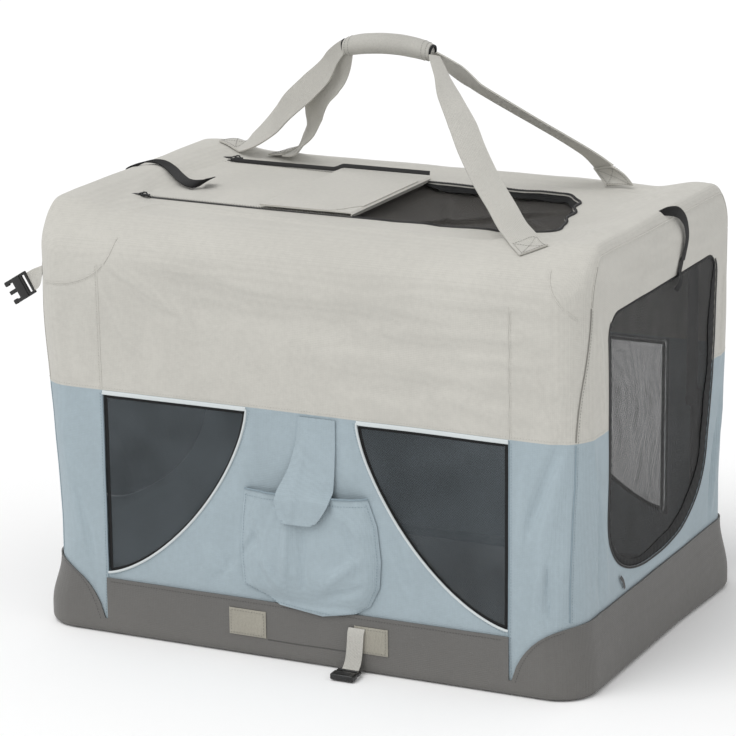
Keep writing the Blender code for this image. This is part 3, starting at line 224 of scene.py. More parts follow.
# Every finish of a sewn or moulded piece is a material with its colour slot.
# Polyester Oxford cloth, 600 denier, coated on the back. Its basket weave is about 0.8 mm, drawn at
# 2.4 mm so that it shows; dull, with a faint sheen where it turns away
BEIGE_OXFORD = woven_cloth("oxford_polyester_beige", "#C1BFB8", 0.0024, 0.16, 0.78, 0.12), "beige_cloth"
BLUE_OXFORD = woven_cloth("oxford_polyester_pale_blue", "#9FADB4", 0.0024, 0.16, 0.78, 0.12), "blue_cloth"
# The same cloth with a heavier coating for the base: smoother, darker and less woven to the eye
GREY_OXFORD = woven_cloth("coated_oxford_grey", "#646361", 0.0026, 0.20, 0.62, 0.08, soil=0.10), "grey_cloth"
# Folded polyester tape round the windows, pale and slightly shiny
PIPING = woven_cloth("polyester_piping_pale", "#CDD3D4", 0.0016, 0.12, 0.6, 0.10, 0.02, 0.0), "blue_cloth"
# Lapped seams and their spun polyester thread, one shade off the cloth that they join
# The grey one is real thread on the webbing, and painted shade on the front right corner seam
THREAD_AND_SEAM_SHADE = woven_cloth("polyester_thread_and_seam_shade_grey", "#817F79", 0.0012, 0.2, 0.7, 0.05, 0.05, 0.0), "beige_cloth"
WEBBING_THREAD = THREAD_AND_SEAM_SHADE[0], "webbing"
PALE_SEAM = woven_cloth("polyester_seam_pale", "#B9B7B0", 0.0012, 0.2, 0.7, 0.05, 0.05, 0.0), "beige_cloth"
BLUE_THREAD = woven_cloth("polyester_seam_blue", "#8797A0", 0.0012, 0.2, 0.7, 0.05, 0.05, 0.0), "blue_cloth"
GREY_THREAD = woven_cloth("polyester_thread_dark_grey", "#4E4D4B", 0.0012, 0.2, 0.7, 0.05, soil=0.0), "grey_cloth"
# Black polyester grosgrain, the binding of the doors and hatch: ribbed and matt
BLACK_TAPE = woven_cloth("grosgrain_black", "#0E0F10", 0.0018, 0.45, 0.70, 0.0, 0.10, 0.0), "black_trim"
# Knitted polyester net, 1.2 mm holes drawn at 2.2 mm so that they show. The share of yarn is lowest in
# the right door, so that the light behind it shows, and highest in the left one, where none does
WINDOW_NET = netting("knitted_net_blue_grey", "#4A5054", 0.0022, 0.34), "netting"
BLACK_NET = netting("knitted_net_charcoal", "#2A2A2A", 0.0022, 0.27), "netting"
DENSE_NET = netting("knitted_net_charcoal_close", "#2C3033", 0.0022, 0.68), "netting"
BROWN_NET = netting("knitted_net_warm_grey", "#34312D", 0.0022, 0.42), "netting"
# Cotton-look polypropylene webbing, 40 mm wide, ribs of about 1.5 mm drawn at 2.2 mm
CREAM_WEBBING = webbing("polypropylene_webbing_cream", "#C7C5BE", 0.0022, 0.45), "webbing"
# A darker weave of the same kind for the two patches on the tub
STONE_WEBBING = webbing("polypropylene_webbing_stone", "#A8A498", 0.0022, 0.45), "webbing"
BLACK_WEBBING = webbing("polypropylene_webbing_black", "#0B0B0C", 0.0020, 0.5, 0.7), "black_trim"
# Fleece-covered floor mat
MAT_FLEECE = fleece("brushed_fleece_taupe", "#8C8478", 0.0028), "mat_cloth"
# Moulded acetal buckles: satin black with a fine spark-eroded grain
ACETAL = moulded("acetal_black", "#161616", 0.38, 0.0012), "black_plastic"
ZIP_COIL = moulded("nylon_coil_black", "#1B1B1C", 0.45, 0.0010), "black_trim"
# Zinc sliders, painted black and rubbed a little
PAINTED_ZINC = moulded("painted_zinc_black", "#202122", 0.35, 0.0014, metallic=0.3), "black_plastic"
# Steel tube with a dark powder coat: slight orange peel
POWDER_COAT = moulded("powder_coated_steel", "#4A4B4D", 0.42, 0.0016, relief=0.2)
# Pressed polypropylene base board
BOARD_PLASTIC = moulded("polypropylene_board_black", "#1D1D1E", 0.55, 0.0020, relief=0.25)


# ---------------------------------------------------------------- the slack in the cloth

def rise(value, low, high):
    """0 up to low, 1 from high on, smooth between."""
    share = min(1.0, max(0.0, (value - low) / (high - low)))
    return share * share * (3 - 2 * share)


def crease(u, v, line):
    """Height of one soft fold at a place on a face; it runs from start to end and fades at both."""
    u0, v0, u1, v1, width, height = line
    du, dv = u1 - u0, v1 - v0
    length = hypot(du, dv)
    across = ((u - u0) * dv - (v - v0) * du) / length
    if abs(across) > 3 * width:
        return 0.0
    along = ((u - u0) * du + (v - v0) * dv) / length**2
    if not -0.2 < along < 1.2:
        return 0.0
    ends = rise(along, -0.2, 0.3) * (1 - rise(along, 0.7, 1.2))
    return height * exp(-((across / width) ** 2)) * ends


# Folds as start, end, width and height in metres; heights below 0 are hollows
FRONT_FOLDS = (  # in X and Z
    (-0.285, 0.560, -0.10, 0.548, 0.006, 0.0030),
    (-0.290, 0.548, -0.04, 0.515, 0.010, 0.0026),
    (-0.295, 0.535, -0.17, 0.465, 0.009, 0.0030),
    (-0.300, 0.520, -0.25, 0.410, 0.009, 0.0020),
    (-0.24, 0.575, 0.04, 0.560, 0.008, 0.0022),
    (-0.20, 0.480, 0.10, 0.470, 0.022, -0.0020),
    (-0.33, 0.460, -0.33, 0.365, 0.012, 0.0016),
    (0.02, 0.562, 0.340, 0.549, 0.009, 0.0024),
    (-0.05, 0.520, 0.300, 0.503, 0.014, 0.0030),
    (0.16, 0.530, 0.350, 0.526, 0.007, 0.0022),
    (0.11, 0.476, 0.345, 0.491, 0.011, 0.0028),
    (0.02, 0.437, 0.345, 0.424, 0.014, 0.0026),
    (0.22, 0.455, 0.350, 0.452, 0.007, 0.0020),
    (0.19, 0.398, 0.350, 0.378, 0.010, 0.0020),
    (0.05, 0.395, 0.20, 0.400, 0.016, -0.0016),
    (0.340, 0.470, 0.372, 0.380, 0.008, -0.0020),
    (0.372, 0.350, 0.330, 0.225, 0.007, -0.0034),
    (0.385, 0.345, 0.350, 0.200, 0.006, 0.0034),
    (0.375, 0.300, 0.345, 0.110, 0.006, 0.0030),
    (0.360, 0.200, 0.366, 0.106, 0.004, -0.0034),
    (0.333, 0.340, 0.318, 0.190, 0.007, 0.0022),
    (0.395, 0.280, 0.383, 0.110, 0.006, 0.0030),
    (-0.385, 0.330, -0.350, 0.140, 0.010, 0.0024),
    (-0.370, 0.250, -0.325, 0.090, 0.008, -0.0022),
    (-0.075, 0.340, -0.090, 0.180, 0.010, 0.0020),
    (-0.052, 0.235, -0.110, 0.115, 0.007, 0.0026),
    (-0.060, 0.180, -0.140, 0.095, 0.006, -0.0020),
    (0.060, 0.345, 0.075, 0.260, 0.008, 0.0016),
    (0.130, 0.200, 0.165, 0.110, 0.010, -0.0022),
    (-0.150, 0.150, -0.095, 0.090, 0.010, 0.0022),
)
BACK_FOLDS = (  # in X and Z
    (-0.33, 0.520, -0.05, 0.540, 0.010, 0.0034),
    (-0.30, 0.470, 0.05, 0.480, 0.012, 0.0030),
    (-0.32, 0.430, -0.08, 0.420, 0.011, 0.0026),
    (0.10, 0.530, 0.34, 0.500, 0.010, 0.0034),
    (0.02, 0.440, 0.33, 0.430, 0.014, -0.0026),
    (0.12, 0.400, 0.34, 0.385, 0.010, 0.0024),
    (-0.37, 0.340, -0.34, 0.140, 0.007, 0.0032),
    (-0.352, 0.300, -0.330, 0.120, 0.006, -0.0026),
    (0.36, 0.330, 0.34, 0.130, 0.007, 0.0032),
    (0.385, 0.260, 0.365, 0.110, 0.006, -0.0028),
    (-0.04, 0.330, -0.06, 0.130, 0.010, 0.0024),
    (0.05, 0.300, 0.03, 0.110, 0.010, 0.0024),
)
END_FOLDS = (  # in Y and Z, on both ends
    (-0.235, 0.500, -0.215, 0.360, 0.007, 0.0026),
    (-0.245, 0.340, -0.222, 0.130, 0.006, 0.0034),
    (-0.228, 0.300, -0.205, 0.115, 0.005, -0.0026),
    (-0.205, 0.250, -0.180, 0.120, 0.006, 0.0024),
    (0.235, 0.490, 0.220, 0.340, 0.007, 0.0026),
    (0.240, 0.300, 0.215, 0.130, 0.006, 0.0030),
    (0.225, 0.260, 0.205, 0.120, 0.005, -0.0024),
    (-0.150, 0.115, 0.150, 0.108, 0.007, 0.0018),
    (-0.19, 0.550, 0.10, 0.548, 0.010, -0.0018),
    (-0.02, 0.565, 0.20, 0.530, 0.012, 0.0020),
)
ROOF_FOLDS = (  # in X and Y
    (-0.300, -0.240, -0.272, -0.165, 0.006, 0.0036),
    (-0.280, -0.168, -0.045, -0.190, 0.007, 0.0042),
    (-0.070, -0.188, 0.186, -0.206, 0.008, 0.0034),
    (0.160, -0.206, 0.350, -0.205, 0.008, 0.0034),
    (-0.270, -0.150, -0.100, -0.162, 0.008, -0.0030),
    (-0.305, -0.195, -0.345, -0.060, 0.010, 0.0024),
    (-0.345, -0.040, -0.320, 0.100, 0.010, -0.0020),
    (0.20, -0.175, 0.30, -0.165, 0.010, -0.0016),
    (-0.34, 0.205, 0.35, 0.200, 0.012, 0.0026),
    (0.10, 0.160, 0.33, 0.175, 0.012, -0.0020),
    (0.325, -0.120, 0.385, -0.170, 0.008, 0.0024),
    (0.320, 0.080, 0.375, 0.150, 0.009, 0.0022),
    (0.318, -0.080, 0.330, 0.080, 0.010, -0.0022),
)
# Where a handle strap is sewn on, it pulls the roof up to a low peak: place, height and width
PEAKS = (
    (0.284, -0.186, 0.012, 0.030), (0.266, 0.184, 0.003, 0.026),
    (-0.335, 0.196, 0.004, 0.026), (-0.255, 0.188, 0.004, 0.026),
)


def ripple(u, v, shift):
    """Small unevenness that no single fold explains."""
    return noise.noise(Vector((u * 11, v * 7, shift))) + 0.5 * noise.noise(Vector((u * 27, v * 19, shift)))


def long_slack(face, x, z):
    """How far the front or back cloth stands out from its flat plane."""
    folds = FRONT_FOLDS if face < 0 else BACK_FOLDS
    height = 1.35 * sum(crease(x, z, line) for line in folds)
    if height > 0:
        held = 0.0028 + 0.004 * rise(z, 0.37, 0.42)  # lower down the cloth has to fold into the tub
        height = held * (1 - exp(-height / held))
    sag = -0.003 * rise(z, 0.10, 0.30) * (1 - rise(z, 0.42, 0.53)) * (1 - rise(abs(x), 0.15, 0.36))
    free = rise(z, 0.03, 0.12)
    return (height + sag + 0.0012 * ripple(x, z, 3.0 + face)) * free


def end_slack(side, y, z):
    """How far the left or right end's cloth stands out: full at the top, drawn in at the tub."""
    height = 1.4 * sum(crease(y, z, line) for line in END_FOLDS)
    full, drawn = (0.008, -0.011) if side < 0 else (0.001, -0.007)
    lean = full * rise(z, 0.30, 0.46) + drawn * rise(z, 0.03, 0.10) * (1 - rise(z, 0.14, 0.36))
    corner = rise(y, 0.05, 0.26) if side > 0 else 1 - rise(y, -0.26, -0.05)
    lean += 0.006 * corner * (1 - rise(z, 0.02, 0.095))  # the tub's slack corner stands out
    return height + lean + 0.0010 * ripple(y, z, 9.0 + side) * rise(z, 0.03, 0.12)


def roof_lift(x, y):
    """The roof stands up over its two arches and hangs a little between its rails."""
    ends = rise(abs(x), 0.300, 0.375) * (1 - rise(abs(y), 0.215, 0.265))
    slope = 0.004 * y / WALL_W * rise(x, 0.20, 0.38)
    height = sum(crease(x, y, line) for line in ROOF_FOLDS)
    sag = -0.0030 * (1 - rise(abs(x), 0.10, 0.33)) * (1 - rise(abs(y), 0.10, 0.16))
    flat = rise(max(abs(x) / 0.345, abs(y) / 0.165), 0.85, 1.05)
    peaks = sum(h * exp(-((x - px) ** 2 + (y - py) ** 2) / w**2) for px, py, h, w in PEAKS)
    return 0.013 * ends - slope + height + sag + peaks + 0.0010 * ripple(x, y, 20.0) * flat


def warp(point):
    """Moves a point of the plain shell to where the slack cloth lies."""
    x, y, z = point
    side = rise(abs(y), 0.16, WALL_W - 0.02)
    end = rise(abs(x), 0.28, WALL_L - 0.02)
    top = rise(z, 0.532, 0.582)
    dx = dy = dz = 0.0
    if end:
        dx = end_slack(-1 if x < 0 else 1, y, z) * end * (1 if x > 0 else -1)
    if side:
        dy = long_slack(-1 if y < 0 else 1, x, z) * side * (1 if y > 0 else -1)
    if top:
        dz = roof_lift(x, y) * top
    return Vector((x + dx, y + dy, z + dz))


def roof_at(x, y, above=0.0):
    """A point so far above the roof's outer face, also on its rounded long edges."""
    over = min(1.0, max(0.0, abs(y) - (WALL_W - SIDE_EDGE)) / SIDE_EDGE) ** (SIDE_POWER / 2)
    z = WALL_TOP_Z + (ROOF_Z - WALL_TOP_Z) * (1 - over**2) ** (1 / SIDE_POWER)
    return Vector((x, y, warp((x, y, z)).z + above))


# Half the way round the walls
HALF_ROUND = (WALL_L - WALL_R) + pi * WALL_R + 2 * (WALL_W - WALL_R) + (WALL_L - WALL_R)


def round_plan(half_l, half_w, radius, s):
    """The point at a distance s round a rounded rectangle, from the middle of the front towards +X."""
    mirror = 1
    half = 2 * (half_l - radius) + pi * radius + 2 * (half_w - radius)
    while s > half:
        s -= 2 * half
    if s < 0:
        mirror, s = -1, -s
    straight, turn, end = half_l - radius, pi * radius / 2, 2 * (half_w - radius)
    if s <= straight:
        x, y = s, -half_w
    elif s <= straight + turn:
        angle = (s - straight) / radius
        x, y = straight + radius * sin(angle), radius - half_w - radius * cos(angle)
    elif s <= straight + turn + end:
        x, y = half_l, radius - half_w + s - straight - turn
    elif s <= straight + 2 * turn + end:
        angle = (s - straight - turn - end) / radius
        x, y = straight + radius * cos(angle), half_w - radius + radius * sin(angle)
    else:
        x, y = half - s, half_w
    return mirror * x, y


# Distances round the walls to the middle of the front right corner and of the back right corner
CORNER_S = (WALL_L - WALL_R) + pi * WALL_R / 4
BACK_CORNER_S = HALF_ROUND - CORNER_S


# ---------------------------------------------------------------- making pieces

def new_object(bm, name):
    mesh = bpy.data.meshes.new(name)
    bm.to_mesh(mesh)
    bm.free()
    made = bpy.data.objects.new(name, mesh)
    bpy.context.scene.collection.objects.link(made)
    return made


def fold_down(piece):
    """Gives the piece a mesh of its own."""
    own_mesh(piece)


def finish_piece(bm, name, finish, body, replaced=None, folds=False):
    """A visible piece that rides on a body; folds gives it a mesh of its own."""
    piece = new_object(bm, name)
    material, slot_name = finish
    piece.data.materials.append(material)
    piece.data.shade_smooth()
    piece.data.set_sharp_from_angle(angle=radians(40))
    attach(piece, body)
    if replaced:
        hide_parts(replaced)
    if folds:
        fold_down(piece)
    return piece


def settle(piece):
    """Makes the modifiers' result the piece's own mesh."""
    bpy.context.view_layer.update()
    graph = bpy.context.evaluated_depsgraph_get()
    mesh = bpy.data.meshes.new_from_object(piece.evaluated_get(graph))
    piece.modifiers.clear()
    piece.data = mesh
    mesh.set_sharp_from_angle(angle=radians(45))


def sewn(
    bm, name, finish, body, replaced=None, thickness=CLOTH, offset=-1.0,
    cutters=(), operation="DIFFERENCE", folds=False,
):
    """A piece of cloth or tape, given its thickness and cut by the cutters."""
    piece = finish_piece(bm, name, finish, body, replaced)
    shell = piece.modifiers.new("thickness", "SOLIDIFY")
    shell.thickness, shell.offset = thickness, offset
    for cutter in cutters:
        cut = piece.modifiers.new("cut", "BOOLEAN")
        cut.operation, cut.solver, cut.object = operation, "EXACT", cutter
    settle(piece)
    for cutter in cutters:
        bpy.data.objects.remove(cutter, do_unlink=True)
    if folds:
        fold_down(piece)
    return piece


def facing(bm, way):
    """Turns the faces of a sheet the same way round, so that most of them look this way."""
    bmesh.ops.recalc_face_normals(bm, faces=bm.faces[:])
    if sum(f.normal.dot(Vector(way)) for f in bm.faces) < 0:
        bmesh.ops.reverse_faces(bm, faces=bm.faces[:])
    return bm


def prism(outline, across, low, high):
    """A cutter: an outline given in the two other axes, drawn out along one axis from low to high."""
    order = {"x": lambda u, v, w: (w, u, v), "y": lambda u, v, w: (u, w, v), "z": lambda u, v, w: (u, v, w)}
    low, high = sorted((low, high))
    bm = bmesh.new()
    start = [bm.verts.new(order[across](u, v, low)) for u, v in outline]
    face = bm.faces.new(start)
    made = bmesh.ops.extrude_face_region(bm, geom=[face])
    moved = [v for v in made["geom"] if isinstance(v, bmesh.types.BMVert)]
    bmesh.ops.translate(bm, verts=moved, vec=Vector(order[across](0, 0, high - low)))
    bmesh.ops.recalc_face_normals(bm, faces=bm.faces[:])
    return new_object(bm, "cutter")


def grid(columns, rows, where, uv_size=None):
    """A sheet of cells with every corner put where the given function says, for u and v from 0 to 1."""
    bm = bmesh.new()
    layer = bm.loops.layers.uv.new("UVMap")
    bmesh.ops.create_grid(bm, x_segments=columns, y_segments=rows, size=0.5, calc_uvs=True)
    width, length = uv_size or (1.0, 1.0)
    for face in bm.faces:
        for loop in face.loops:
            u, v = loop.vert.co.x + 0.5, loop.vert.co.y + 0.5
            loop[layer].uv = (u * width, v * length)
    for vert in bm.verts:
        vert.co = where(vert.co.x + 0.5, vert.co.y + 0.5)
    return bm


def arc(centre, radius, start, end, steps=8):
    points = []
    for i in range(steps + 1):
        angle = radians(start + (end - start) * i / steps)
        points.append((centre[0] + radius * cos(angle), centre[1] + radius * sin(angle)))
    return points


def curve_at(points, i, t):
    """A point of the smooth curve through points: a share t of the way from point i to the next."""
    before, after = points[max(0, i - 1)], points[min(len(points) - 1, i + 2)]
    a, b = points[i], points[i + 1]
    return 0.5 * (
        2 * a + (b - before) * t + (2 * before - 5 * a + 4 * b - after) * t**2
        + (3 * a - before - 3 * b + after) * t**3
    )


def smooth_line(points, count):
    """A smooth curve through points, as so many steps."""
    points = [Vector(p) for p in points]
    made = []
    for k in range(count + 1):
        where = k / count * (len(points) - 1)
        i = min(int(where), len(points) - 2)
        made.append(curve_at(points, i, where - i))
    return made


def even_steps(points, step=0.005, closed=False, count=None):
    """The same line with a point at every step, or with so many points."""
    points = [Vector(p) for p in points]
    if closed:
        points.append(points[0])
    lengths = [(b - a).length for a, b in zip(points, points[1:])]
    total = sum(lengths)
    count = count or max(2, round(total / step))
    made, index, gone = [], 0, 0.0
    for i in range(count + (0 if closed else 1)):
        target = total * i / count
        while index < len(lengths) - 1 and gone + lengths[index] < target:
            gone += lengths[index]
            index += 1
        share = (target - gone) / max(lengths[index], 1e-9)
        made.append(points[index].lerp(points[index + 1], min(1.0, share)))
    return made


def even_span(low, high, count):
    return [low + (high - low) * k / count for k in range(count + 1)]


def cord_bm(points, radius, closed=False, flatten=1.0, normal=(0, 0, 1), sides=8):
    """A round or flattened bead along a line, closed at its ends."""
    points = [Vector(p) for p in points]
    bm = bmesh.new()
    rings = []
    count = len(points)
    for i, point in enumerate(points):
        before = points[i - 1] if i or closed else point
        after = points[(i + 1) % count] if i < count - 1 or closed else point
        along = (after - before).normalized()
        out = Vector(normal(point) if callable(normal) else normal)
        cross = along.cross(out)
        if cross.length < 1e-4:
            cross = along.cross(Vector((0.3, 0.5, 0.8)))
        cross.normalize()
        out = cross.cross(along).normalized()
        ring = []
        for k in range(sides):
            angle = 2 * pi * k / sides
            ring.append(bm.verts.new(point + radius * (cos(angle) * cross + flatten * sin(angle) * out)))
        rings.append(ring)
    pairs = list(zip(rings, rings[1:]))
    if closed:
        pairs.append((rings[-1], rings[0]))
    for first, second in pairs:
        for k in range(sides):
            bm.faces.new((first[k], first[(k + 1) % sides], second[(k + 1) % sides], second[k]))
    if not closed:
        bm.faces.new(rings[0][::-1])
        bm.faces.new(rings[-1])
    bmesh.ops.recalc_face_normals(bm, faces=bm.faces[:])
    return bm


def stitches(points, pitch=0.0042, length=0.0028, thick=0.0005, out=(0, 0, 1)):
    """A row of lockstitches along a line, each one a small sunk bead of thread."""
    places = even_steps(points, pitch)
    bm = bmesh.new()
    bead = bmesh.new()
    bmesh.ops.create_uvsphere(bead, u_segments=6, v_segments=4, radius=0.5)
    mesh = bpy.data.meshes.new("bead")
    for i, point in enumerate(places[:-1]):
        along = places[i + 1] - point
        if along.length < 1e-6:
            continue
        along.normalize()
        up = Vector(out(point) if callable(out) else out)
        across = up.cross(along).normalized()
        up = along.cross(across)
        turn = Matrix((along, across, up)).transposed().to_4x4()
        size = Matrix.Diagonal((length, thick * 1.6, thick * 1.5, 1.0))
        copy = bead.copy()
        copy.transform(Matrix.Translation(point) @ turn @ size)
        copy.to_mesh(mesh)
        copy.free()
        bm.from_mesh(mesh)
    bead.free()
    bpy.data.meshes.remove(mesh)
    return bm


def joined(*parts):
    """Several shapes as one."""
    whole = parts[0]
    for part in parts[1:]:
        mesh = bpy.data.meshes.new("part")
        part.to_mesh(mesh)
        part.free()
        whole.from_mesh(mesh)
        bpy.data.meshes.remove(mesh)
    return whole


def ribbon_line(stations, crown=0.0):
    """The place on a strap's face at u across and v along it, and its whole length."""
    centres = [Vector(s[0]) for s in stations]
    gone = [0.0]
    for a, b in zip(centres, centres[1:]):
        gone.append(gone[-1] + (b - a).length)
    total = gone[-1]

    def where(u, v):
        target = v * total
        i = max(k for k in range(len(gone) - 1) if gone[k] <= target + 1e-9)
        t = min(1.0, (target - gone[i]) / (gone[i + 1] - gone[i]))
        across = Vector(stations[i][1]).lerp(Vector(stations[i + 1][1]), t).normalized()
        width = stations[i][2] + (stations[i + 1][2] - stations[i][2]) * t
        along = (centres[i + 1] - centres[i]).normalized()
        up = across.cross(along).normalized()
        return curve_at(centres, i, t) + across * width * (u - 0.5) + up * crown * (1 - (2 * u - 1) ** 2)

    return where, total


def ribbon_bm(stations, thickness, cells, rows=8):
    """A strap through stations of centre, direction across and width, with a UV map in metres."""
    where, total = ribbon_line(stations)
    bm = grid(rows, cells, where, (max(s[2] for s in stations), total))
    bmesh.ops.solidify(bm, geom=bm.faces[:], thickness=thickness)
    bmesh.ops.recalc_face_normals(bm, faces=bm.faces[:])
    return bm


# ---------------------------------------------------------------- walls

def window_line(side, inset, steps=26):
    """The window's outline in X and Z: upright outer edge, level top, and a sweeping curve."""
    outer, inner = 0.303 - inset, 0.083 + inset
    top, bottom = 0.347 - inset, 0.090 + inset
    points = [(side * outer, top)]
    for i in range(steps + 1):
        t = pi / 2 * i / steps
        u = cos(t) ** (2 / 1.5) if i < steps else 0.0
        v = sin(t) ** (2 / 1.5)
        points.append((side * (outer - (outer - inner) * u), top - (top - bottom) * v))
    return points


def door_line(inset, steps=20):
    """The doorway's outline in Y and Z."""
    top, shoulder, foot = 0.508 - inset, 0.250, 0.124 + inset
    top_half, half, corner = 0.200 - inset, 0.186 - inset, max(0.006, 0.030 - inset)
    right = []
    for i in range(steps):
        t = pi / 2 * i / steps
        right.append((half * sin(t) ** 0.8, shoulder - (shoulder - foot) * cos(t) ** 0.8))
    right.append((half, shoulder))
    right += arc((top_half - corner, top - corner), corner, 0, 90, 6)
    return right + [(-y, z) for y, z in reversed(right) if y]


CELL = 0.0042  # of the walls' cloth


def wall(name, s_low, s_high, z_low, z_high, finish, flat, rests_on, area=None, cutters=()):
    """A panel of cloth between two distances round the walls and two heights."""

    def where(u, v):
        x, y = round_plan(WALL_L, WALL_W, WALL_R, s_low + (s_high - s_low) * u)
        return warp((x, y, z_low + (z_high - z_low) * v))

    bm = grid(round((s_high - s_low) / CELL), round((z_high - z_low) / CELL), where)
    replaced = name.replace("wall", "panel")
    piece = sewn(bm, name, finish, "base", replaced, cutters=cutters, folds=True)


def build_walls():
    lower, upper = (WALL_FOOT_Z, COLOUR_LINE_Z - HAIR), (COLOUR_LINE_Z, WALL_TOP_Z - HAIR)
    for name, low, high, face in (
        ("front", -CORNER_S, CORNER_S, -1), ("back", BACK_CORNER_S, 2 * HALF_ROUND - BACK_CORNER_S, 1),
    ):
        reach = face * (WALL_W - 0.03), face * (WALL_W + 0.02)
        holes = [prism(window_line(side, 0.0), "y", *reach) for side in (-1, 1)]
        low, high = low + HAIR, high - HAIR
        wall(f"{name}_wall_lower", low, high, *lower, BLUE_OXFORD, (0.79, 0.34), "base_tub_cloth", 0.215, holes)
        wall(f"{name}_wall_upper", low, high, *upper, BEIGE_OXFORD, (0.79, 0.18), "roof_cloth")
    for name, low, high, side in (
        ("right", CORNER_S, BACK_CORNER_S, 1), ("left", -BACK_CORNER_S, -CORNER_S, -1),
    ):
        reach = side * (WALL_L - 0.03), side * (WALL_L + 0.03)
        for part, heights, finish, area in (
            ("lower", lower, BLUE_OXFORD, 0.105), ("upper", upper, BEIGE_OXFORD, 0.045),
        ):
            flat = (0.55, round(heights[1] - heights[0], 3))
            door = [prism(door_line(0.0), "x", *reach)]
            wall(f"{name}_wall_{part}", low + HAIR, high - HAIR, *heights, finish, flat, "roof_cloth", area, door)


# ---------------------------------------------------------------- roof

ROOF_RIM_ROWS = 16
ROOF_CELLS = (170, 126)
END_EDGE, END_POWER = 0.014, 2.6  # the roof's short edges are nearly square
SIDE_EDGE, SIDE_POWER = 0.078, 2.1  # its long edges are well rounded
ROOF_CORNER = 0.012  # radius of the flat part's corners


def round_corner(x, y, half_l, half_w, radius):
    """Draws a point of a rectangle's corner square in to a round corner."""
    dx, dy = abs(x) - (half_l - radius), abs(y) - (half_w - radius)
    if dx <= 0 or dy <= 0:
        return x, y
    reach, length = max(dx, dy), hypot(dx, dy)
    dx, dy = dx * reach / length, dy * reach / length
    return (
        (1 if x > 0 else -1) * (half_l - radius + dx),
        (1 if y > 0 else -1) * (half_w - radius + dy),
    )


def roof_edge(p, q, t):
    """A point of the roof's rounded rim: p and q say where along it, t how far down, from 0 to pi / 2."""
    s, c = sin(t), max(0.0, cos(t))
    reach_x = WALL_L - END_EDGE * (1 - s ** (2 / END_POWER) if s else 1)
    reach_y = WALL_W - SIDE_EDGE * (1 - s ** (2 / SIDE_POWER) if s else 1)
    radius = ROOF_CORNER + (WALL_R - ROOF_CORNER) * s
    x, y = round_corner(p * reach_x, q * reach_y, reach_x, reach_y, radius)
    end = rise(abs(p) - abs(q), -0.06, 0.06)
    power = SIDE_POWER + (END_POWER - SIDE_POWER) * end
    z = WALL_TOP_Z + (ROOF_Z - WALL_TOP_Z) * c ** (2 / power)
    return x, y, z


def roof_where(u, v):
    """The plain roof: level inside, with rounded long edges and nearly square ends."""
    i = [round(u * ROOF_CELLS[0]), round(v * ROOF_CELLS[1])]
    depth = min(i[0], i[1], ROOF_CELLS[0] - i[0], ROOF_CELLS[1] - i[1])
    if depth >= ROOF_RIM_ROWS:
        inner = [n - 2 * ROOF_RIM_ROWS for n in ROOF_CELLS]
        p = 2 * (i[0] - ROOF_RIM_ROWS) / inner[0] - 1
        q = 2 * (i[1] - ROOF_RIM_ROWS) / inner[1] - 1
        x, y = p * (WALL_L - END_EDGE), q * (WALL_W - SIDE_EDGE)
        return round_corner(x, y, WALL_L - END_EDGE, WALL_W - SIDE_EDGE, ROOF_CORNER) + (ROOF_Z,)
    half = [n / 2 - depth for n in ROOF_CELLS]
    p, q = (i[0] - ROOF_CELLS[0] / 2) / half[0], (i[1] - ROOF_CELLS[1] / 2) / half[1]
    return roof_edge(p, q, pi / 2 * (1 - depth / ROOF_RIM_ROWS))


HATCH_NEAR, HATCH_FAR, HATCH_R = -0.130, 0.117, 0.012
HATCH_BEND = (  # its right end, in X and Y
    (0.250, HATCH_NEAR), (0.268, -0.128), (0.283, -0.117), (0.290, -0.098), (0.289, -0.070), (0.277, -0.020),
    (0.262, 0.030), (0.251, 0.066), (0.238, 0.094), (0.218, 0.111), (0.195, HATCH_FAR),
)


def hatch_line(extra, wave=0.0):
    """The opening's outline in X and Y, moved out by so much: straight sides and a slanting end."""
    points = arc((-0.306, HATCH_NEAR + HATCH_R), HATCH_R, 180, 270, 4)
    points += [(-0.290 + 0.540 * k / 24, HATCH_NEAR) for k in range(24)]
    points += [(p.x, p.y) for p in smooth_line([(x, y, 0) for x, y in HATCH_BEND], 40)]
    points += [(0.195 - 0.485 * k / 24, HATCH_FAR) for k in range(1, 25)]
    points += arc((-0.306, HATCH_FAR - HATCH_R), HATCH_R, 90, 180, 4)
    made = []
    for i, (x, y) in enumerate(points):
        before, after = points[i - 1], points[(i + 1) % len(points)]
        along = Vector((after[0] - before[0], after[1] - before[1])).normalized()
        pull = extra + wave * noise.noise(Vector((x * 24, y * 24, 5.0))) * rise(x, 0.03, 0.10)
        made.append((x + along.y * pull, y - along.x * pull))
    return made


def build_roof():
    bm = facing(grid(*ROOF_CELLS, lambda u, v: warp(roof_where(u, v))), (0, 0, 1))
    hatch = prism(hatch_line(0.0, 0.010), "z", 0.55, 0.64)
    roof = sewn(bm, "roof_cloth", BEIGE_OXFORD, "roof", "roof_cap", cutters=[hatch])


# ---------------------------------------------------------------- base tub

TUB_WALL_ROWS, TUB_EDGE_ROWS, TUB_EDGE_R = 16, 5, 0.010
TUB_CELLS = (150, 108)


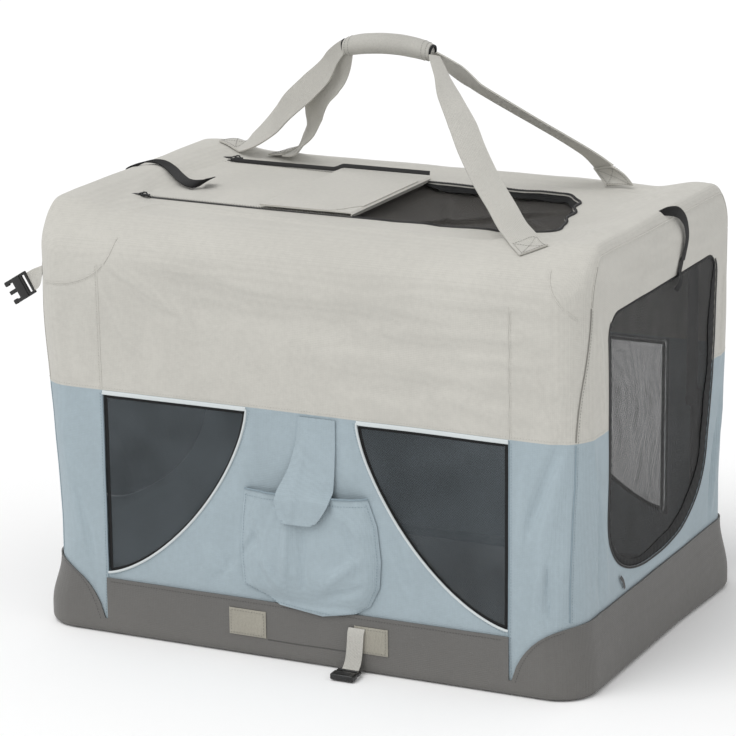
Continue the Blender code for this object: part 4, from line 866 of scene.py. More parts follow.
def tub_where(u, v):
    """A shallow tray: level floor, rounded bottom edge and upright sides."""
    i = [round(u * TUB_CELLS[0]), round(v * TUB_CELLS[1])]
    depth = min(i[0], i[1], TUB_CELLS[0] - i[0], TUB_CELLS[1] - i[1])
    rim = TUB_WALL_ROWS + TUB_EDGE_ROWS
    if depth >= rim:
        inner = [n - 2 * rim for n in TUB_CELLS]
        half_l, half_w = TUB_L - TUB_EDGE_R, TUB_W - TUB_EDGE_R
        p, q = 2 * (i[0] - rim) / inner[0] - 1, 2 * (i[1] - rim) / inner[1] - 1
        return round_corner(p * half_l, q * half_w, half_l, half_w, TUB_R - TUB_EDGE_R) + (0.0,)
    half = [n / 2 - depth for n in TUB_CELLS]
    p, q = (i[0] - TUB_CELLS[0] / 2) / half[0], (i[1] - TUB_CELLS[1] / 2) / half[1]
    turn = pi / 2 * max(0, depth - TUB_WALL_ROWS) / TUB_EDGE_ROWS
    inset = TUB_EDGE_R * (1 - cos(turn))
    z = TUB_EDGE_R * (1 - sin(turn))
    if depth < TUB_WALL_ROWS:
        z += (DISC_R + 0.002 - TUB_EDGE_R) * (1 - depth / TUB_WALL_ROWS)
    x, y = round_corner(p * (TUB_L - inset), q * (TUB_W - inset), TUB_L - inset, TUB_W - inset, TUB_R - inset)
    return x, y, z


def disc_line(side, reach, steps=14):
    """The quarter disc's edge from the seam's notch up to the corner, in X and Z."""
    start = sqrt(reach**2 - SPIKE_Z**2)
    points = []
    for k in range(steps + 1):
        x = start * (1 - k / steps)
        points.append((side * (TUB_L - x), sqrt(reach**2 - x**2)))
    return points


def build_tub():
    bm = facing(grid(*TUB_CELLS, lambda u, v: warp(tub_where(u, v))), (0, 0, -1))
    above = 0.12
    outlines = [[(-SEAM_X, TUB_RIM_Z), (SEAM_X, TUB_RIM_Z), (SEAM_X, above), (-SEAM_X, above)]]
    for side in (-1, 1):
        notch = [(side * SEAM_X, SPIKE_Z)] + disc_line(side, DISC_R)
        notch += [(side * TUB_L * 1.02, DISC_R), (side * TUB_L * 1.02, above), (side * SEAM_X, above)]
        outlines.append(notch)
    cutters = [prism(outline, "y", -0.32, 0.32) for outline in outlines]
    sewn(bm, "base_tub_cloth", GREY_OXFORD, "base", "base_tub", 0.0022, cutters=cutters)
    lines = []
    for face in (-1, 1):
        lines.append([(x / 40 * SEAM_X, face * (TUB_W + 0.0002), TUB_RIM_Z - 0.005) for x in range(-39, 40)])
        for side in (-1, 1):
            lines.append([on_tub(x, z, face) for x, z in disc_line(side, DISC_R - 0.006) if abs(x) < TUB_L - 0.02])
    rows = [stitches([warp(p) for p in line], out=outward) for line in lines]
    finish_piece(joined(*rows), "base_tub_stitching", GREY_THREAD, "base")
    pleat = [(-0.053, 0.0275), (-0.005, 0.0270), (0.040, 0.0278), (0.068, 0.0280)]
    line = [warp((x, -TUB_W, z)) for x, z in pleat]
    seam_bm = cord_bm(even_steps(line, 0.004), 0.0009, flatten=0.5, normal=(0, -1, 0))
    finish_piece(seam_bm, "base_tub_seam", GREY_THREAD, "base")


def on_tub(x, z, face):
    """A point of the tub's outer face, on its long side or its rounded corner."""
    over = abs(x) - (TUB_L - TUB_R)
    y = TUB_W if over <= 0 else TUB_W - TUB_R + sqrt(max(0.0, TUB_R**2 - over**2))
    return (x, face * (y + 0.0002), z)


def outward(point):
    """The way out of the shell at a point near its walls."""
    x, y = point.x, point.y
    if abs(x) > WALL_L - WALL_R and abs(y) > WALL_W - WALL_R:
        cx = (WALL_L - WALL_R) * (1 if x > 0 else -1)
        cy = (WALL_W - WALL_R) * (1 if y > 0 else -1)
        return Vector((x - cx, y - cy, 0)).normalized()
    if abs(y) > WALL_W - 0.03:
        return Vector((0, 1 if y > 0 else -1, 0))
    return Vector((1 if x > 0 else -1, 0, 0))


def on_wall(s, z, out=0.0):
    """A point on the slack wall, at a distance s round it, so far outside its face."""
    x, y = round_plan(WALL_L, WALL_W, WALL_R, s)
    point = warp((x, y, z))
    return point + outward(Vector((x, y, 0))) * out


# ---------------------------------------------------------------- windows and doors

def net(name, cells, where, size, cutter, finish, body, replaced, folds=True):
    """A panel of netting cut to an outline; it lies just inside the cloth."""
    bm = grid(*cells, where, size)
    piece = sewn(bm, name, finish, body, replaced, 0.0005, 0.0, [cutter], "INTERSECT", folds)


def on_long_side(points, face, out):
    """The same points on the slack cloth of the front or back, so far outside it."""
    return [warp((p.x, face * WALL_W, p.z)) + Vector((0, face * out, 0)) for p in points]


def build_window(name, face, side):
    """Netting with pale piping outside, a black binding inside that is partly painted shade in the window's edge, and a
    row of stitches.
    """
    label = f"{name}_{'left' if side < 0 else 'right'}"

    def where(u, v):
        x, z = side * (0.070 + 0.242 * u), 0.078 + 0.272 * v
        point = warp((x, face * WALL_W, z))
        slack = 0.0030 * sin(pi * u) * sin(pi * v) + 0.0004 * ripple(x, z, 31.0)
        point.y -= face * (CLOTH + 0.0008 + slack)
        return point

    cutter = prism(window_line(side, -0.0045), "y", face * (WALL_W - 0.03), face * (WALL_W + 0.02))
    net(
        f"window_net_{label}", (44, 50), where, (0.242, 0.272), cutter, WINDOW_NET, "base",
        f"window_mesh_{label}",
    )
    normal = (0, face, 0)
    line = even_steps([(x, 0, z) for x, z in window_line(side, -0.0004)], 0.005)
    bead = cord_bm(on_long_side(line, face, 0.0004), 0.0018, normal=normal)
    top = [warp((side * x, face * WALL_W, 0.3492)) + Vector((0, face * 0.0005, 0)) for x in even_span(0.083, 0.303, 40)]
    hem = cord_bm(top, 0.0026, flatten=0.5, normal=normal)
    finish_piece(joined(bead, hem), f"window_piping_{label}", PIPING, "base", folds=True)
    # A black band all round just inside the edge: the net's binding, and painted shade where the window's edge is in
    # shadow
    line = even_steps([(x, 0, z) for x, z in window_line(side, 0.0034)], 0.006, closed=True)
    band = cord_bm(on_long_side(line, face, -0.0022), 0.0026, closed=True, flatten=0.25, normal=normal)
    finish_piece(band, f"window_binding_and_shade_{label}", BLACK_TAPE, "base", folds=True)
    line = even_steps([(x, 0, z) for x, z in window_line(side, -0.0055)][1:], 0.006)
    line = [p for p in line if p.z < COLOUR_LINE_Z - 0.004 and abs(p.x) < SEAM_X - 0.001]
    row = stitches(on_long_side(line, face, 0.0001), out=normal)
    finish_piece(row, f"window_stitching_{label}", BLUE_THREAD, "base", folds=True)


def door_binding_and_shade(side):
    """The black binding round the doorway, narrow at the top and near side, and wide at the foot and far side, where
    its width is painted shade in the doorway's edge.
    """
    outer = even_steps([(0, y, z) for y, z in door_line(0.0006)], 0.0065, closed=True)
    count = len(outer)
    inner = even_steps([(0, y, z) for y, z in door_line(0.0150)], closed=True, count=count)

    def where(u, v):
        i = round(u * count) % count
        a, b = outer[i], inner[i]
        wave = (0.0030 + 0.0026 * rise(a.y, 0.0, 0.1)) * noise.noise(Vector((a.y * 16, a.z * 16, 40.0 + side)))
        wave += 0.004 * rise(a.y, 0.05, 0.15) * (1 - rise(a.z, 0.25, 0.40))
        top = rise(a.z, 0.47, 0.50)
        near = (1 - rise(a.y * side, -0.12, 0.05)) * (1 - top)
        # Widest at the foot and far side: painted shade in the doorway's edge
        share = 1.25 - 1.00 * top - 0.70 * near
        p = a.lerp(b, v * share) + (b - a).normalized() * wave * v * share
        point = warp((side * WALL_L, p.y, p.z))
        round_over = 0.0010 * sin(pi * v)
        rib = 0.00035 * (1 if i % 2 else -1)
        point.x += side * (round_over + rib - 0.0006)
        return point

    bm = grid(count, 6, where)
    bmesh.ops.remove_doubles(bm, verts=bm.verts[:], dist=0.00005)
    return facing(bm, (side, 0, 0))


def door_zip(side):
    """The zip's tape, coil and pull round the doorway, open at its top."""
    line = even_steps([(0, y, z) for y, z in door_line(-0.0014)], 0.004, closed=True)
    line = [p for p in line if p.z < 0.500]
    start = max(range(len(line)), key=lambda k: (line[k] - line[k - 1]).length)
    line = line[start:] + line[:start]
    path = [warp((side * WALL_L, p.y, p.z)) + Vector((side * 0.0006, 0, 0)) for p in line]
    tape = cord_bm(path, 0.0018, flatten=0.35, normal=(side, 0, 0))
    teeth = stitches(path, pitch=0.0026, length=0.0016, thick=0.0016, out=(side, 0, 0))
    end = warp((side * WALL_L, -0.138, 0.133)) + Vector((side * 0.0026, 0, 0))
    pull = [end, end + Vector((side * 0.0015, 0.006, -0.008)), end + Vector((side * 0.001, 0.013, -0.020))]
    return joined(tape, teeth, ribbon_bm([(p, (0, 1, 0.3), 0.0055) for p in pull], 0.0012, rows=4, cells=12))


def build_door(name, side):
    body = f"{name}_door"
    # The binding round the doorway, partly painted shade at its foot and far side
    sewn(door_binding_and_shade(side), f"{body}_tape", BLACK_TAPE, body, f"{body}_binding", 0.0018, folds=True)

    def where(u, v):
        y, z = -0.20 + 0.40 * u, 0.125 + 0.380 * v
        point = warp((side * WALL_L, y, z))
        droop = 0.0040 * sin(pi * u) * sin(pi * v) + 0.0009 * ripple(y, z, 50.0)
        point.x -= side * (0.0016 + droop)
        return point

    cutter = prism(door_line(0.0014), "x", side * (WALL_L - 0.04), side * (WALL_L + 0.03))
    net(
        f"{body}_net", (66, 62), where, (0.40, 0.38), cutter, DENSE_NET if side < 0 else BLACK_NET,
        body, f"{body}_mesh",
    )
    finish_piece(door_zip(side), f"{body}_zip", ZIP_COIL, "base", folds=True)


# ---------------------------------------------------------------- seams

def seam(name, path, body, finish, normal, beside=None, radius=0.0009):
    """A lapped seam: a low flat bead, with a row of stitches beside it. Those of the walls get a mesh of their own."""
    parts = [cord_bm(even_steps(path, 0.005), radius, flatten=0.45, normal=normal)]
    if beside:
        parts.append(stitches([p + Vector(beside) for p in path], out=normal))
    finish_piece(joined(*parts), name, finish, body, folds=body == "base")


# The quarter seams at the top corners in X and Z; they rise from the corner seam to the roof
LEFT_ARC = (
    (0.3870, 0.495), (0.363, 0.497), (0.339, 0.501), (0.317, 0.511), (0.299, 0.525), (0.286, 0.543), (0.279, 0.565),
)
RIGHT_ARC = (
    (0.3920, 0.518), (0.384, 0.525), (0.375, 0.535), (0.366, 0.545), (0.360, 0.553), (0.355, 0.563), (0.352, 0.574),
)


def on_front(x, z, face, out=0.0003):
    """A point of the long side's outer face, at any height up to the roof."""
    if z <= WALL_TOP_Z:
        over = max(0.0, abs(x) - (WALL_L - WALL_R))
        y = WALL_W - WALL_R + sqrt(max(0.0, WALL_R**2 - over**2))
        point = (x, face * y, z)
    else:
        share = min(1.0, (z - WALL_TOP_Z) / (ROOF_Z - WALL_TOP_Z))
        t = acos(share ** (SIDE_POWER / 2))
        reach = WALL_L - END_EDGE * (1 - sin(t) ** (2 / END_POWER))
        point = roof_edge(x / reach, face, t)
    return warp(point) + Vector((0, face * out, out))


def build_side_seams(name, face):
    """The two upright seams of a long side, and the quarter seams at its top corners."""
    out = (0, face, 0)
    for label, side in (("left", -1), ("right", 1)):
        beside = (side * 0.003, 0, 0)
        path = [on_front(side * SEAM_X, z, face) for z in even_span(0.030, 0.350, 50)]
        seam(f"{name}_seam_blue_{label}", path, "base", BLUE_THREAD, out, beside)
        path = [on_front(side * SEAM_X, z, face) for z in even_span(0.354, 0.529, 30)]
        seam(f"{name}_seam_beige_{label}", path, "base", BEIGE_OXFORD, out, beside, 0.0008)
        quarter = LEFT_ARC if side * face > 0 else RIGHT_ARC
        points = smooth_line([(side * u, 0, w) for u, w in quarter], 40)
        below = [on_front(p.x, p.z, face) for p in points if p.z < WALL_TOP_Z - 0.0005]
        above = [on_front(p.x, p.z, face) for p in points if p.z > WALL_TOP_Z + 0.0005]
        seam(f"{name}_corner_seam_{label}", below, "base", BEIGE_OXFORD, out, (0, 0, -0.003))
        seam(f"{name}_corner_seam_roof_{label}", above, "roof", BEIGE_OXFORD, (0, face, 0.6))


def build_corner_seam(name, s, away):
    """The seam down a corner; the front right one is darker, painted shade along that corner, and stands out more, as
    in the photo.
    """
    # dark picks the front right corner, whose seam bead is painted dark as shade
    dark = name == "front_right"
    for part, low, high, finish in (
        ("blue", 0.108, 0.350, BLUE_THREAD), ("beige", 0.354, 0.529, THREAD_AND_SEAM_SHADE if dark else PALE_SEAM),
    ):
        path, beside = [], []
        for z in even_span(low, high, 40):
            at = s + away * 0.022 * rise(z, 0.36, 0.53)
            path.append(on_wall(at, z, 0.0005 if dark else 0.0003))
            beside.append(on_wall(at + 0.0035 * away, z, 0.0001))
        bead = cord_bm(even_steps(path, 0.005), 0.0011 if dark else 0.0009, flatten=0.5, normal=outward)
        row = stitches(beside, out=outward)
        finish_piece(joined(bead, row), f"corner_seam_{part}_{name}", finish, "base", folds=True)


def build_roof_end_seam(name, side):
    """The seam along the roof's short edge; it runs out at both corners."""
    drops = [roof_edge(side, -(0.883 - 0.023 * k / 10), pi / 2 - pi / 4 * k / 10) for k in range(11)]
    path = drops + [roof_edge(side, -0.86 + 1.72 * k / 60, pi / 4) for k in range(1, 60)]
    path += [roof_edge(side, 0.883 - 0.023 * k / 10, pi / 2 - pi / 4 * k / 10) for k in range(10, -1, -1)]
    path = [warp(p) + Vector((side * 0.0002, 0, 0.0003)) for p in path]
    bead = cord_bm(even_steps(path, 0.005), 0.0011, flatten=0.6, normal=(side, 0, 1))
    inner = [p + Vector((-side * 0.0045, 0, 0.0004)) for p in path[12:-12]]
    finish_piece(joined(bead, stitches(inner)), f"roof_end_seam_{name}", BEIGE_OXFORD, "roof")
    if side > 0:
        # A dark bead down the roof's front right corner: painted shade along that seam
        dark = cord_bm(even_steps(path[:9], 0.004), 0.0012, flatten=0.5, normal=(0.6, -0.8, 0))
        finish_piece(dark, "roof_corner_seam_shade_right", THREAD_AND_SEAM_SHADE, "roof")


def build_colour_line():
    """Stitches just above the line where the two cloths meet; none across the doors."""
    rows = []
    for s_low, s_high in (
        (-CORNER_S, CORNER_S), (CORNER_S, BACK_CORNER_S),
        (BACK_CORNER_S, 2 * HALF_ROUND - BACK_CORNER_S), (-BACK_CORNER_S, -CORNER_S),
    ):
        line = [on_wall(s, COLOUR_LINE_Z + 0.0035, 0.0001) for s in even_span(s_low, s_high, 180)]
        for in_door, run in groupby(line, key=lambda p: abs(p.x) > 0.38 and abs(p.y) < 0.190):
            run = list(run)
            if not in_door and len(run) > 3:
                rows.append(stitches(run, out=outward))
    finish_piece(joined(*rows), "colour_line_stitching", PALE_SEAM, "base", folds=True)


def build_seams():
    build_side_seams("front", -1)
    build_side_seams("back", 1)
    build_corner_seam("front_right", CORNER_S, 1)
    build_corner_seam("back_right", BACK_CORNER_S, -1)
    build_corner_seam("back_left", -BACK_CORNER_S, 1)
    build_corner_seam("front_left", -CORNER_S, -1)
    build_roof_end_seam("left", -1)
    build_roof_end_seam("right", 1)
    build_colour_line()


# ---------------------------------------------------------------- hatch

FOLD_X, FLAP = 0.004, 0.138  # the cover's first fold in X, and the length of a loose panel
NEAR_EDGE, FAR_EDGE = -0.133, 0.121  # the cover's long edges in Y
WRINKLES = (  # of the open net, in X and Y
    (0.03, -0.10, 0.22, 0.06, 0.008, 0.006),
    (0.10, 0.10, 0.26, -0.06, 0.008, 0.005),
    (0.05, 0.09, 0.12, -0.08, 0.007, 0.004),
)


def build_hatch():
    def net_where(u, v):
        x, y = -0.336 + 0.646 * u, -0.146 + 0.282 * v
        sag = 0.009 * rise(x, -0.02, 0.12) * sin(pi * v) * sin(pi * u)
        deep = 0.0085 * rise(x, -0.01, 0.02)
        wrinkle = sum(crease(x, y, line) for line in WRINKLES)
        point = roof_at(x, y, -0.0035 - deep - sag + wrinkle)
        point.z = min(point.z, 0.5876 + 0.010 * rise(abs(x), 0.30, 0.34))
        return point

    net(
        "hatch_net", (120, 60), net_where, (0.646, 0.282), prism(hatch_line(0.006), "z", 0.54, 0.64), BROWN_NET,
        "roof", "hatch_mesh", folds=False,
    )
    cover = sewn(grid(64, 52, cover_where), "hatch_cover_cloth", BEIGE_OXFORD, "roof", "hatch_cover")
    for name, level, under in (("inner", 0, "hatch_cover_cloth"), ("outer", 1, "hatch_flap_inner_cloth")):
        bm = grid(56, 52, lambda u, v: flap_where(u, v, level))
        flap = sewn(bm, f"hatch_flap_{name}_cloth", BEIGE_OXFORD, f"flap_{name}", f"hatch_flap_{name}")
    rows = []
    for v in (0.024, 0.976):
        rows.append(stitches([cover_where(k / 60, v) + Vector((0, 0, 0.0002)) for k in range(61)]))
    finish_piece(joined(*rows), "hatch_cover_stitching", PALE_SEAM, "roof")
    build_hatch_zip()
    build_slider("front", -0.311, -0.1385)
    build_slider("back", -0.311, 0.1385)


def across_cover(v):
    return NEAR_EDGE + (FAR_EDGE - NEAR_EDGE) * v


def cover_where(u, v):
    """The closed part of the cover: flat at its edges, a little full in its middle."""
    x, y = -0.3220 + 0.3255 * u, across_cover(v)
    if u < 0.05:
        y *= 1 - 0.03 * (1 - u / 0.05) ** 2
    puff = 0.0024 * (sin(pi * v) ** 0.5) * rise(u, 0.0, 0.15) * (1 - rise(u, 0.80, 1.0))
    puff *= 1 + 0.5 * noise.noise(Vector((x * 14, y * 14, 60.0)))
    base = warp((x, y, ROOF_Z)).z
    return Vector((x, y, max(base, 0.5866) + CLOTH + 0.0004 + puff * 0.6))


def flap_where(u, v, level):
    """A folded part of the cover: it turns back over the fold and lies on the part below."""
    y = across_cover(v)
    fold_x = FOLD_X if level == 0 else FOLD_X - FLAP
    away = -1 if level == 0 else 1
    r = 0.0014  # of the fold
    roll = pi * r
    gone = (FLAP + roll) * u
    low = 0.5896 + 0.0026 * level
    if gone < roll:
        angle = gone / r
        return Vector((fold_x - away * r * sin(angle), y, low + CLOTH + r * (1 - cos(angle))))
    x = fold_x + away * (gone - roll)
    if level == 1:
        share = (gone - roll) / FLAP
        y *= 1 - 0.30 * rise(share, 0.62, 1.0) ** 3
    puff = 0.0008 * sin(pi * v) * sin(pi * min(1.0, (gone - roll) / FLAP))
    return Vector((x, y, low + CLOTH + 2 * r + puff + 0.0003 * ripple(x * 2, y * 2, 70.0)))


def build_hatch_zip():
    """Black tape and coil round the opening.

    The tape hangs down at the open part, and lies under the cover's edge elsewhere.
    """
    line = [p for p in hatch_line(0.0, 0.010) if p[0] > -0.317]
    start = max(range(len(line)), key=lambda k: hypot(line[k][0] - line[k - 1][0], line[k][1] - line[k - 1][1]))
    line = line[start:] + line[:start]
    outer = even_steps([(x, y, 0) for x, y in line], 0.004)
    count = len(outer) - 1

    def where(u, v):
        i = round(u * count)
        p = outer[i]
        before, after = outer[max(0, i - 1)], outer[min(count, i + 1)]
        inward = Vector((0, 0, 1)).cross(after - before).normalized()
        if inward.dot(Vector((0.05, 0, 0)) - p) < 0:
            inward = -inward
        open_part = rise(p.x, -0.01, 0.04)
        wave = 0.75 + 0.35 * noise.noise(Vector((p.x * 18, p.y * 18, 80.0)))
        reach = 0.0030 + 0.0020 * v - 0.0030 * (1 - v)
        q = p + inward * (0.004 * v * (1 - open_part) + reach * open_part - 0.002 * (1 - v))
        fall = -(0.0012 * (1 - open_part) + 0.0125 * wave * open_part) * v
        return roof_at(q.x, q.y, 0.0004 + fall)

    bm = facing(grid(count, 6, where), (0, 0, 1))
    sewn(bm, "hatch_zip_tape", BLACK_TAPE, "roof", "hatch_zip", 0.0008)
    track = [(-0.320, NEAR_EDGE - 0.0035, 0)] + [(x, y, 0) for x, y in hatch_line(0.0022, 0.010) if x > -0.312]
    track = even_steps(track + [(-0.320, FAR_EDGE + 0.0035, 0)], 0.005)
    path = [roof_at(p.x, p.y, 0.0010) for p in track]
    coil = stitches(path, pitch=0.0024, length=0.0015, thick=0.0027)
    # The far zip stands up behind the folded cover
    edge = []
    for x in even_span(-0.316, 0.004, 80):
        edge.append(Vector((x, FAR_EDGE + 0.0028, 0.5945 + 0.0062 * rise(x, -0.150, -0.130))))
    ribbon = ribbon_bm([(p, (0, 0.15, 1), 0.0052) for p in edge], 0.0010, rows=3, cells=90)
    finish_piece(joined(cord_bm(path, 0.0020, flatten=0.5), coil, ribbon), "hatch_zip_coil", ZIP_COIL, "roof")


PULL_WIDTHS = (0.0036, 0.0044, 0.0048, 0.0050, 0.0050, 0.0050, 0.0050, 0.0048, 0.0040)


def build_slider(name, x, y):
    """A zip slider: a waisted body, a bridge, a ring and a flat pull."""
    z = roof_at(x, y).z + 0.0022
    bm = bmesh.new()
    size = Matrix.Diagonal((0.013, 0.0078, 0.0026, 1))
    made = bmesh.ops.create_cube(bm, size=1.0, matrix=Matrix.Translation((x, y, z + 0.0012)) @ size)
    for vert in made["verts"]:
        if vert.co.x < x:
            vert.co.y = y + (vert.co.y - y) * 0.72
    bmesh.ops.bevel(bm, geom=bm.edges[:], offset=0.0008, segments=2, affect="EDGES", profile=0.5, material=-1)
    bridge = [
        (x - 0.0045, y, z + 0.002), (x - 0.003, y, z + 0.0046), (x + 0.001, y, z + 0.0050), (x + 0.0045, y, z + 0.002),
    ]
    ring = []
    for k in range(20):
        a = 2 * pi * k / 20
        ring.append((x - 0.003 - 0.0055 * sin(a), y + 0.0024 * cos(a), z + 0.0042 - 0.0010 * sin(a)))
    pull = [(x - 0.0085, y, z + 0.0030), (x - 0.016, y + 0.0006, z + 0.0022), (x - 0.0290, y - 0.0006, z + 0.0016)]
    stations = [(p, (0, 1, 0), w) for p, w in zip(smooth_line(pull, 8), PULL_WIDTHS)]
    whole = joined(
        bm, cord_bm(smooth_line(bridge, 12), 0.0009), cord_bm(ring, 0.0006, closed=True),
        ribbon_bm(stations, 0.0013, rows=4, cells=16),
    )
    body = f"zip_slider_{name}"
    finish_piece(whole, f"{body}_cast", PAINTED_ZINC, body, body)


# ---------------------------------------------------------------- ties

# The curls of the two roof ties, as centres and the way across the tape
LEFT_TIE = (
    ((-0.4105, 0.062, 0.532), (0, 0.8, 0.6)), ((-0.4110, 0.040, 0.560), (0, 0.8, 0.6)),
    ((-0.4090, 0.010, 0.588), (0.2, 0.7, 0.7)), ((-0.4040, -0.014, 0.602), (0.7, 0.7, 0.1)),
    ((-0.3920, 0.008, 0.6085), (0.5, 0.85, 0.1)), ((-0.3750, 0.019, 0.6075), (0.35, 0.9, 0.1)),
    ((-0.3510, 0.006, 0.6040), (0.7, 0.7, 0.05)), ((-0.3200, -0.028, 0.6020), (0.7, 0.7, 0.1)),
    ((-0.2910, -0.059, 0.6015), (0.6, 0.75, 0.2)), ((-0.2690, -0.071, 0.6015), (0.3, 0.8, 0.5)),
    ((-0.2590, -0.060, 0.6025), (0.8, 0.2, 0.6)), ((-0.2650, -0.033, 0.6025), (0.95, 0.2, 0.25)),
)
RIGHT_TIE = (
    ((0.3900, 0.002, 0.6010), (0.5, 0.8, 0.1)), ((0.4020, 0.012, 0.6030), (0.3, 0.7, 0.6)),
    ((0.4110, 0.035, 0.5980), (0, 0.55, 0.85)), ((0.4140, 0.055, 0.5840), (0, 0.75, 0.65)),
    ((0.4140, 0.066, 0.5660), (0, 0.95, 0.3)), ((0.4130, 0.069, 0.5510), (0, 1, 0.05)),
    ((0.4115, 0.064, 0.5350), (0, 0.97, -0.25)), ((0.4110, 0.060, 0.5265), (0, 0.97, -0.25)),
)


def build_roof_tie(name, line, width):
    bm = ribbon_bm([(p, across, width) for p, across in line], 0.0014, rows=6, cells=90)
    finish_piece(bm, f"{name}_roof_tie_tape", BLACK_WEBBING, "roof", f"{name}_roof_tie")


def build_end_ties(name, side, top, foot, width):
    """One tie hangs from the wall's top and one from the door; they meet half way."""
    wall_part, door_part = [], []
    for k in range(9):
        share = k / 8
        y = top + (foot - top) * 0.5 * share
        point = warp((side * WALL_L, y, 0.5285 - 0.0215 * share)) + Vector((side * 0.0018, 0, 0))
        wall_part.append((point, (0, 0.97, -0.25 - 0.04 * k), width))
        y = top + (foot - top) * (0.42 + 0.58 * share)
        point = warp((side * WALL_L, y, 0.5100 - 0.0205 * share))
        point.x += side * (0.0032 + 0.0035 * sin(pi * share))
        door_part.append((point, (0, 0.9, -0.45), width))
    for part, stations, cells, body in (("wall", wall_part, 20, "base"), ("door", door_part, 24, f"{name}_door")):
        tie = f"{name}_{part}_tie"
        bm = ribbon_bm(stations, 0.0012, rows=6, cells=cells)
        finish_piece(bm, f"{tie}_tape", BLACK_WEBBING, body, tie, folds=True)


# ---------------------------------------------------------------- carrying handle

GRIP_X, GRIP_Y, GRIP_Z, GRIP_HALF = -0.014, 0.030, 0.7915, 0.066  # the sleeve's middle and half length
GRIP_ARCH = 0.008  # it stands up in its middle
# The four straps from the sleeve down to the roof, as centres and the way across the webbing
STRAPS = {
    "front_right": (
        ((0.057, 0.025, 0.787), (-0.62, -0.74, 0.25)), ((0.080, 0.001, 0.763), (-0.63, -0.75, 0.21)),
        ((0.100, -0.021, 0.743), (-0.68, -0.73, 0.07)), ((0.136, -0.057, 0.712), (-0.74, -0.68, -0.02)),
        ((0.165, -0.089, 0.684), (-0.74, -0.67, -0.04)), ((0.203, -0.127, 0.653), (-0.72, -0.69, -0.07)),
        ((0.238, -0.159, 0.629), (-0.71, -0.71, -0.06)), ((0.264, -0.184, 0.611), (-0.70, -0.70, -0.09)),
        ((0.290, -0.208, 0.600), (-0.72, -0.66, -0.18)), ((0.316, -0.233, 0.586), (-0.73, -0.65, -0.20)),
    ),
    "back_right": (
        ((0.052, 0.033, 0.787), (0.77, -0.36, 0.53)), ((0.077, 0.051, 0.765), (0.78, -0.23, 0.58)),
        ((0.098, 0.070, 0.741), (0.75, -0.60, 0.27)), ((0.127, 0.092, 0.717), (0.70, -0.66, 0.26)),
        ((0.167, 0.121, 0.686), (0.69, -0.68, 0.24)), ((0.198, 0.144, 0.662), (0.69, -0.68, 0.24)),
        ((0.228, 0.167, 0.637), (0.73, -0.64, 0.25)), ((0.245, 0.179, 0.619), (0.83, -0.46, 0.24)),
        ((0.259, 0.180, 0.6065), (0.92, -0.10, 0.22)), ((0.2715, 0.176, 0.5945), (0.95, 0.30, 0.02)),
    ),
    "front_left": (
        ((-0.080, 0.026, 0.794), (0.56, -0.22, -0.80)), ((-0.105, 0.043, 0.774), (0.62, -0.18, -0.76)),
        ((-0.129, 0.063, 0.748), (0.51, -0.30, -0.81)), ((-0.168, 0.089, 0.718), (0.42, -0.34, -0.84)),
        ((-0.217, 0.120, 0.682), (0.38, -0.42, -0.82)), ((-0.250, 0.143, 0.653), (0.28, -0.53, -0.80)),
        ((-0.289, 0.167, 0.625), (0.06, -0.70, -0.71)), ((-0.321, 0.185, 0.607), (-0.15, -0.83, -0.53)),
        ((-0.338, 0.195, 0.600), (-0.32, -0.90, -0.20)), ((-0.361, 0.206, 0.5955), (-0.40, -0.91, -0.08)),
    ),
    "back_left": (
        ((-0.079, 0.032, 0.789), (0.93, -0.01, -0.36)), ((-0.093, 0.047, 0.763), (0.86, 0.02, -0.51)),
        ((-0.115, 0.069, 0.735), (0.40, -0.44, -0.80)), ((-0.150, 0.093, 0.710), (0.51, -0.30, -0.80)),
        ((-0.177, 0.118, 0.678), (0.71, -0.19, -0.68)), ((-0.193, 0.136, 0.653), (0.52, -0.48, -0.71)),
        ((-0.207, 0.149, 0.635), (0.14, -0.73, -0.67)), ((-0.224, 0.164, 0.617), (0.03, -0.76, -0.65)),
        ((-0.242, 0.177, 0.604), (-0.37, -0.88, -0.20)), ((-0.272, 0.194, 0.5955), (-0.45, -0.89, -0.08)),
    ),
}
STRAP_WIDTHS = (0.017, 0.024, 0.034, 0.040, 0.040, 0.040, 0.040, 0.040, 0.040, 0.040)


def build_strap(name, line):
    """A strap is sewn to the roof by its last piece; the rest runs up to the grip, and both ride on the roof."""
    plain, total = ribbon_line([(Vector(p), across, w) for (p, across), w in zip(line, STRAP_WIDTHS)], 0.0008)

    def where(u, v):
        p = plain(u, v)
        if abs(p.y) < WALL_W - 0.004:
            p.z = max(p.z, roof_at(p.x, p.y).z + 0.0012)
        return p

    tab = SEWN / total
    hinge_z = sum(where(u / 4, 1 - tab).z for u in range(5)) / 5
    for part, v0, v1, cells, replaced in (
        ("webbing", 0.0, 1 - 0.96 * tab, 110, f"handle_strap_{name}"), ("tab", 1 - tab, 1.0, 16, None),
    ):
        bm = grid(10, cells, lambda u, v: where(u, v0 + (v1 - v0) * v), (0.040, total * (v1 - v0)))
        strap = sewn(facing(bm, (0, 0, 1)), f"handle_{part}_{name}", CREAM_WEBBING, "roof", replaced, 0.0022, 1.0)
        if part == "webbing":
            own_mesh(strap)
    end, start = 1 - 0.08 * tab, 1 - 0.92 * tab  # a square of stitches with a cross in it
    corners = [(0.10, end), (0.90, end), (0.90, start), (0.10, start)]
    rows = []
    for corner_line in (corners + [corners[0]], [corners[0], corners[2]], [corners[1], corners[3]]):
        for lift in (0.0024, -0.0024):
            path = []
            for p in even_steps([(u, v * 2.0, 0) for u, v in corner_line], 0.03):
                u, v = p.x, p.y / 2.0
                a, b, c = where(u, v), where(min(1.0, u + 0.02), v), where(u, max(0.0, v - 0.01))
                path.append(a + (b - a).cross(a - c).normalized() * lift)
            rows.append(stitches(path, pitch=0.0036, length=0.0026, thick=0.0006))
    finish_piece(joined(*rows), f"handle_stitching_{name}", WEBBING_THREAD, "roof")


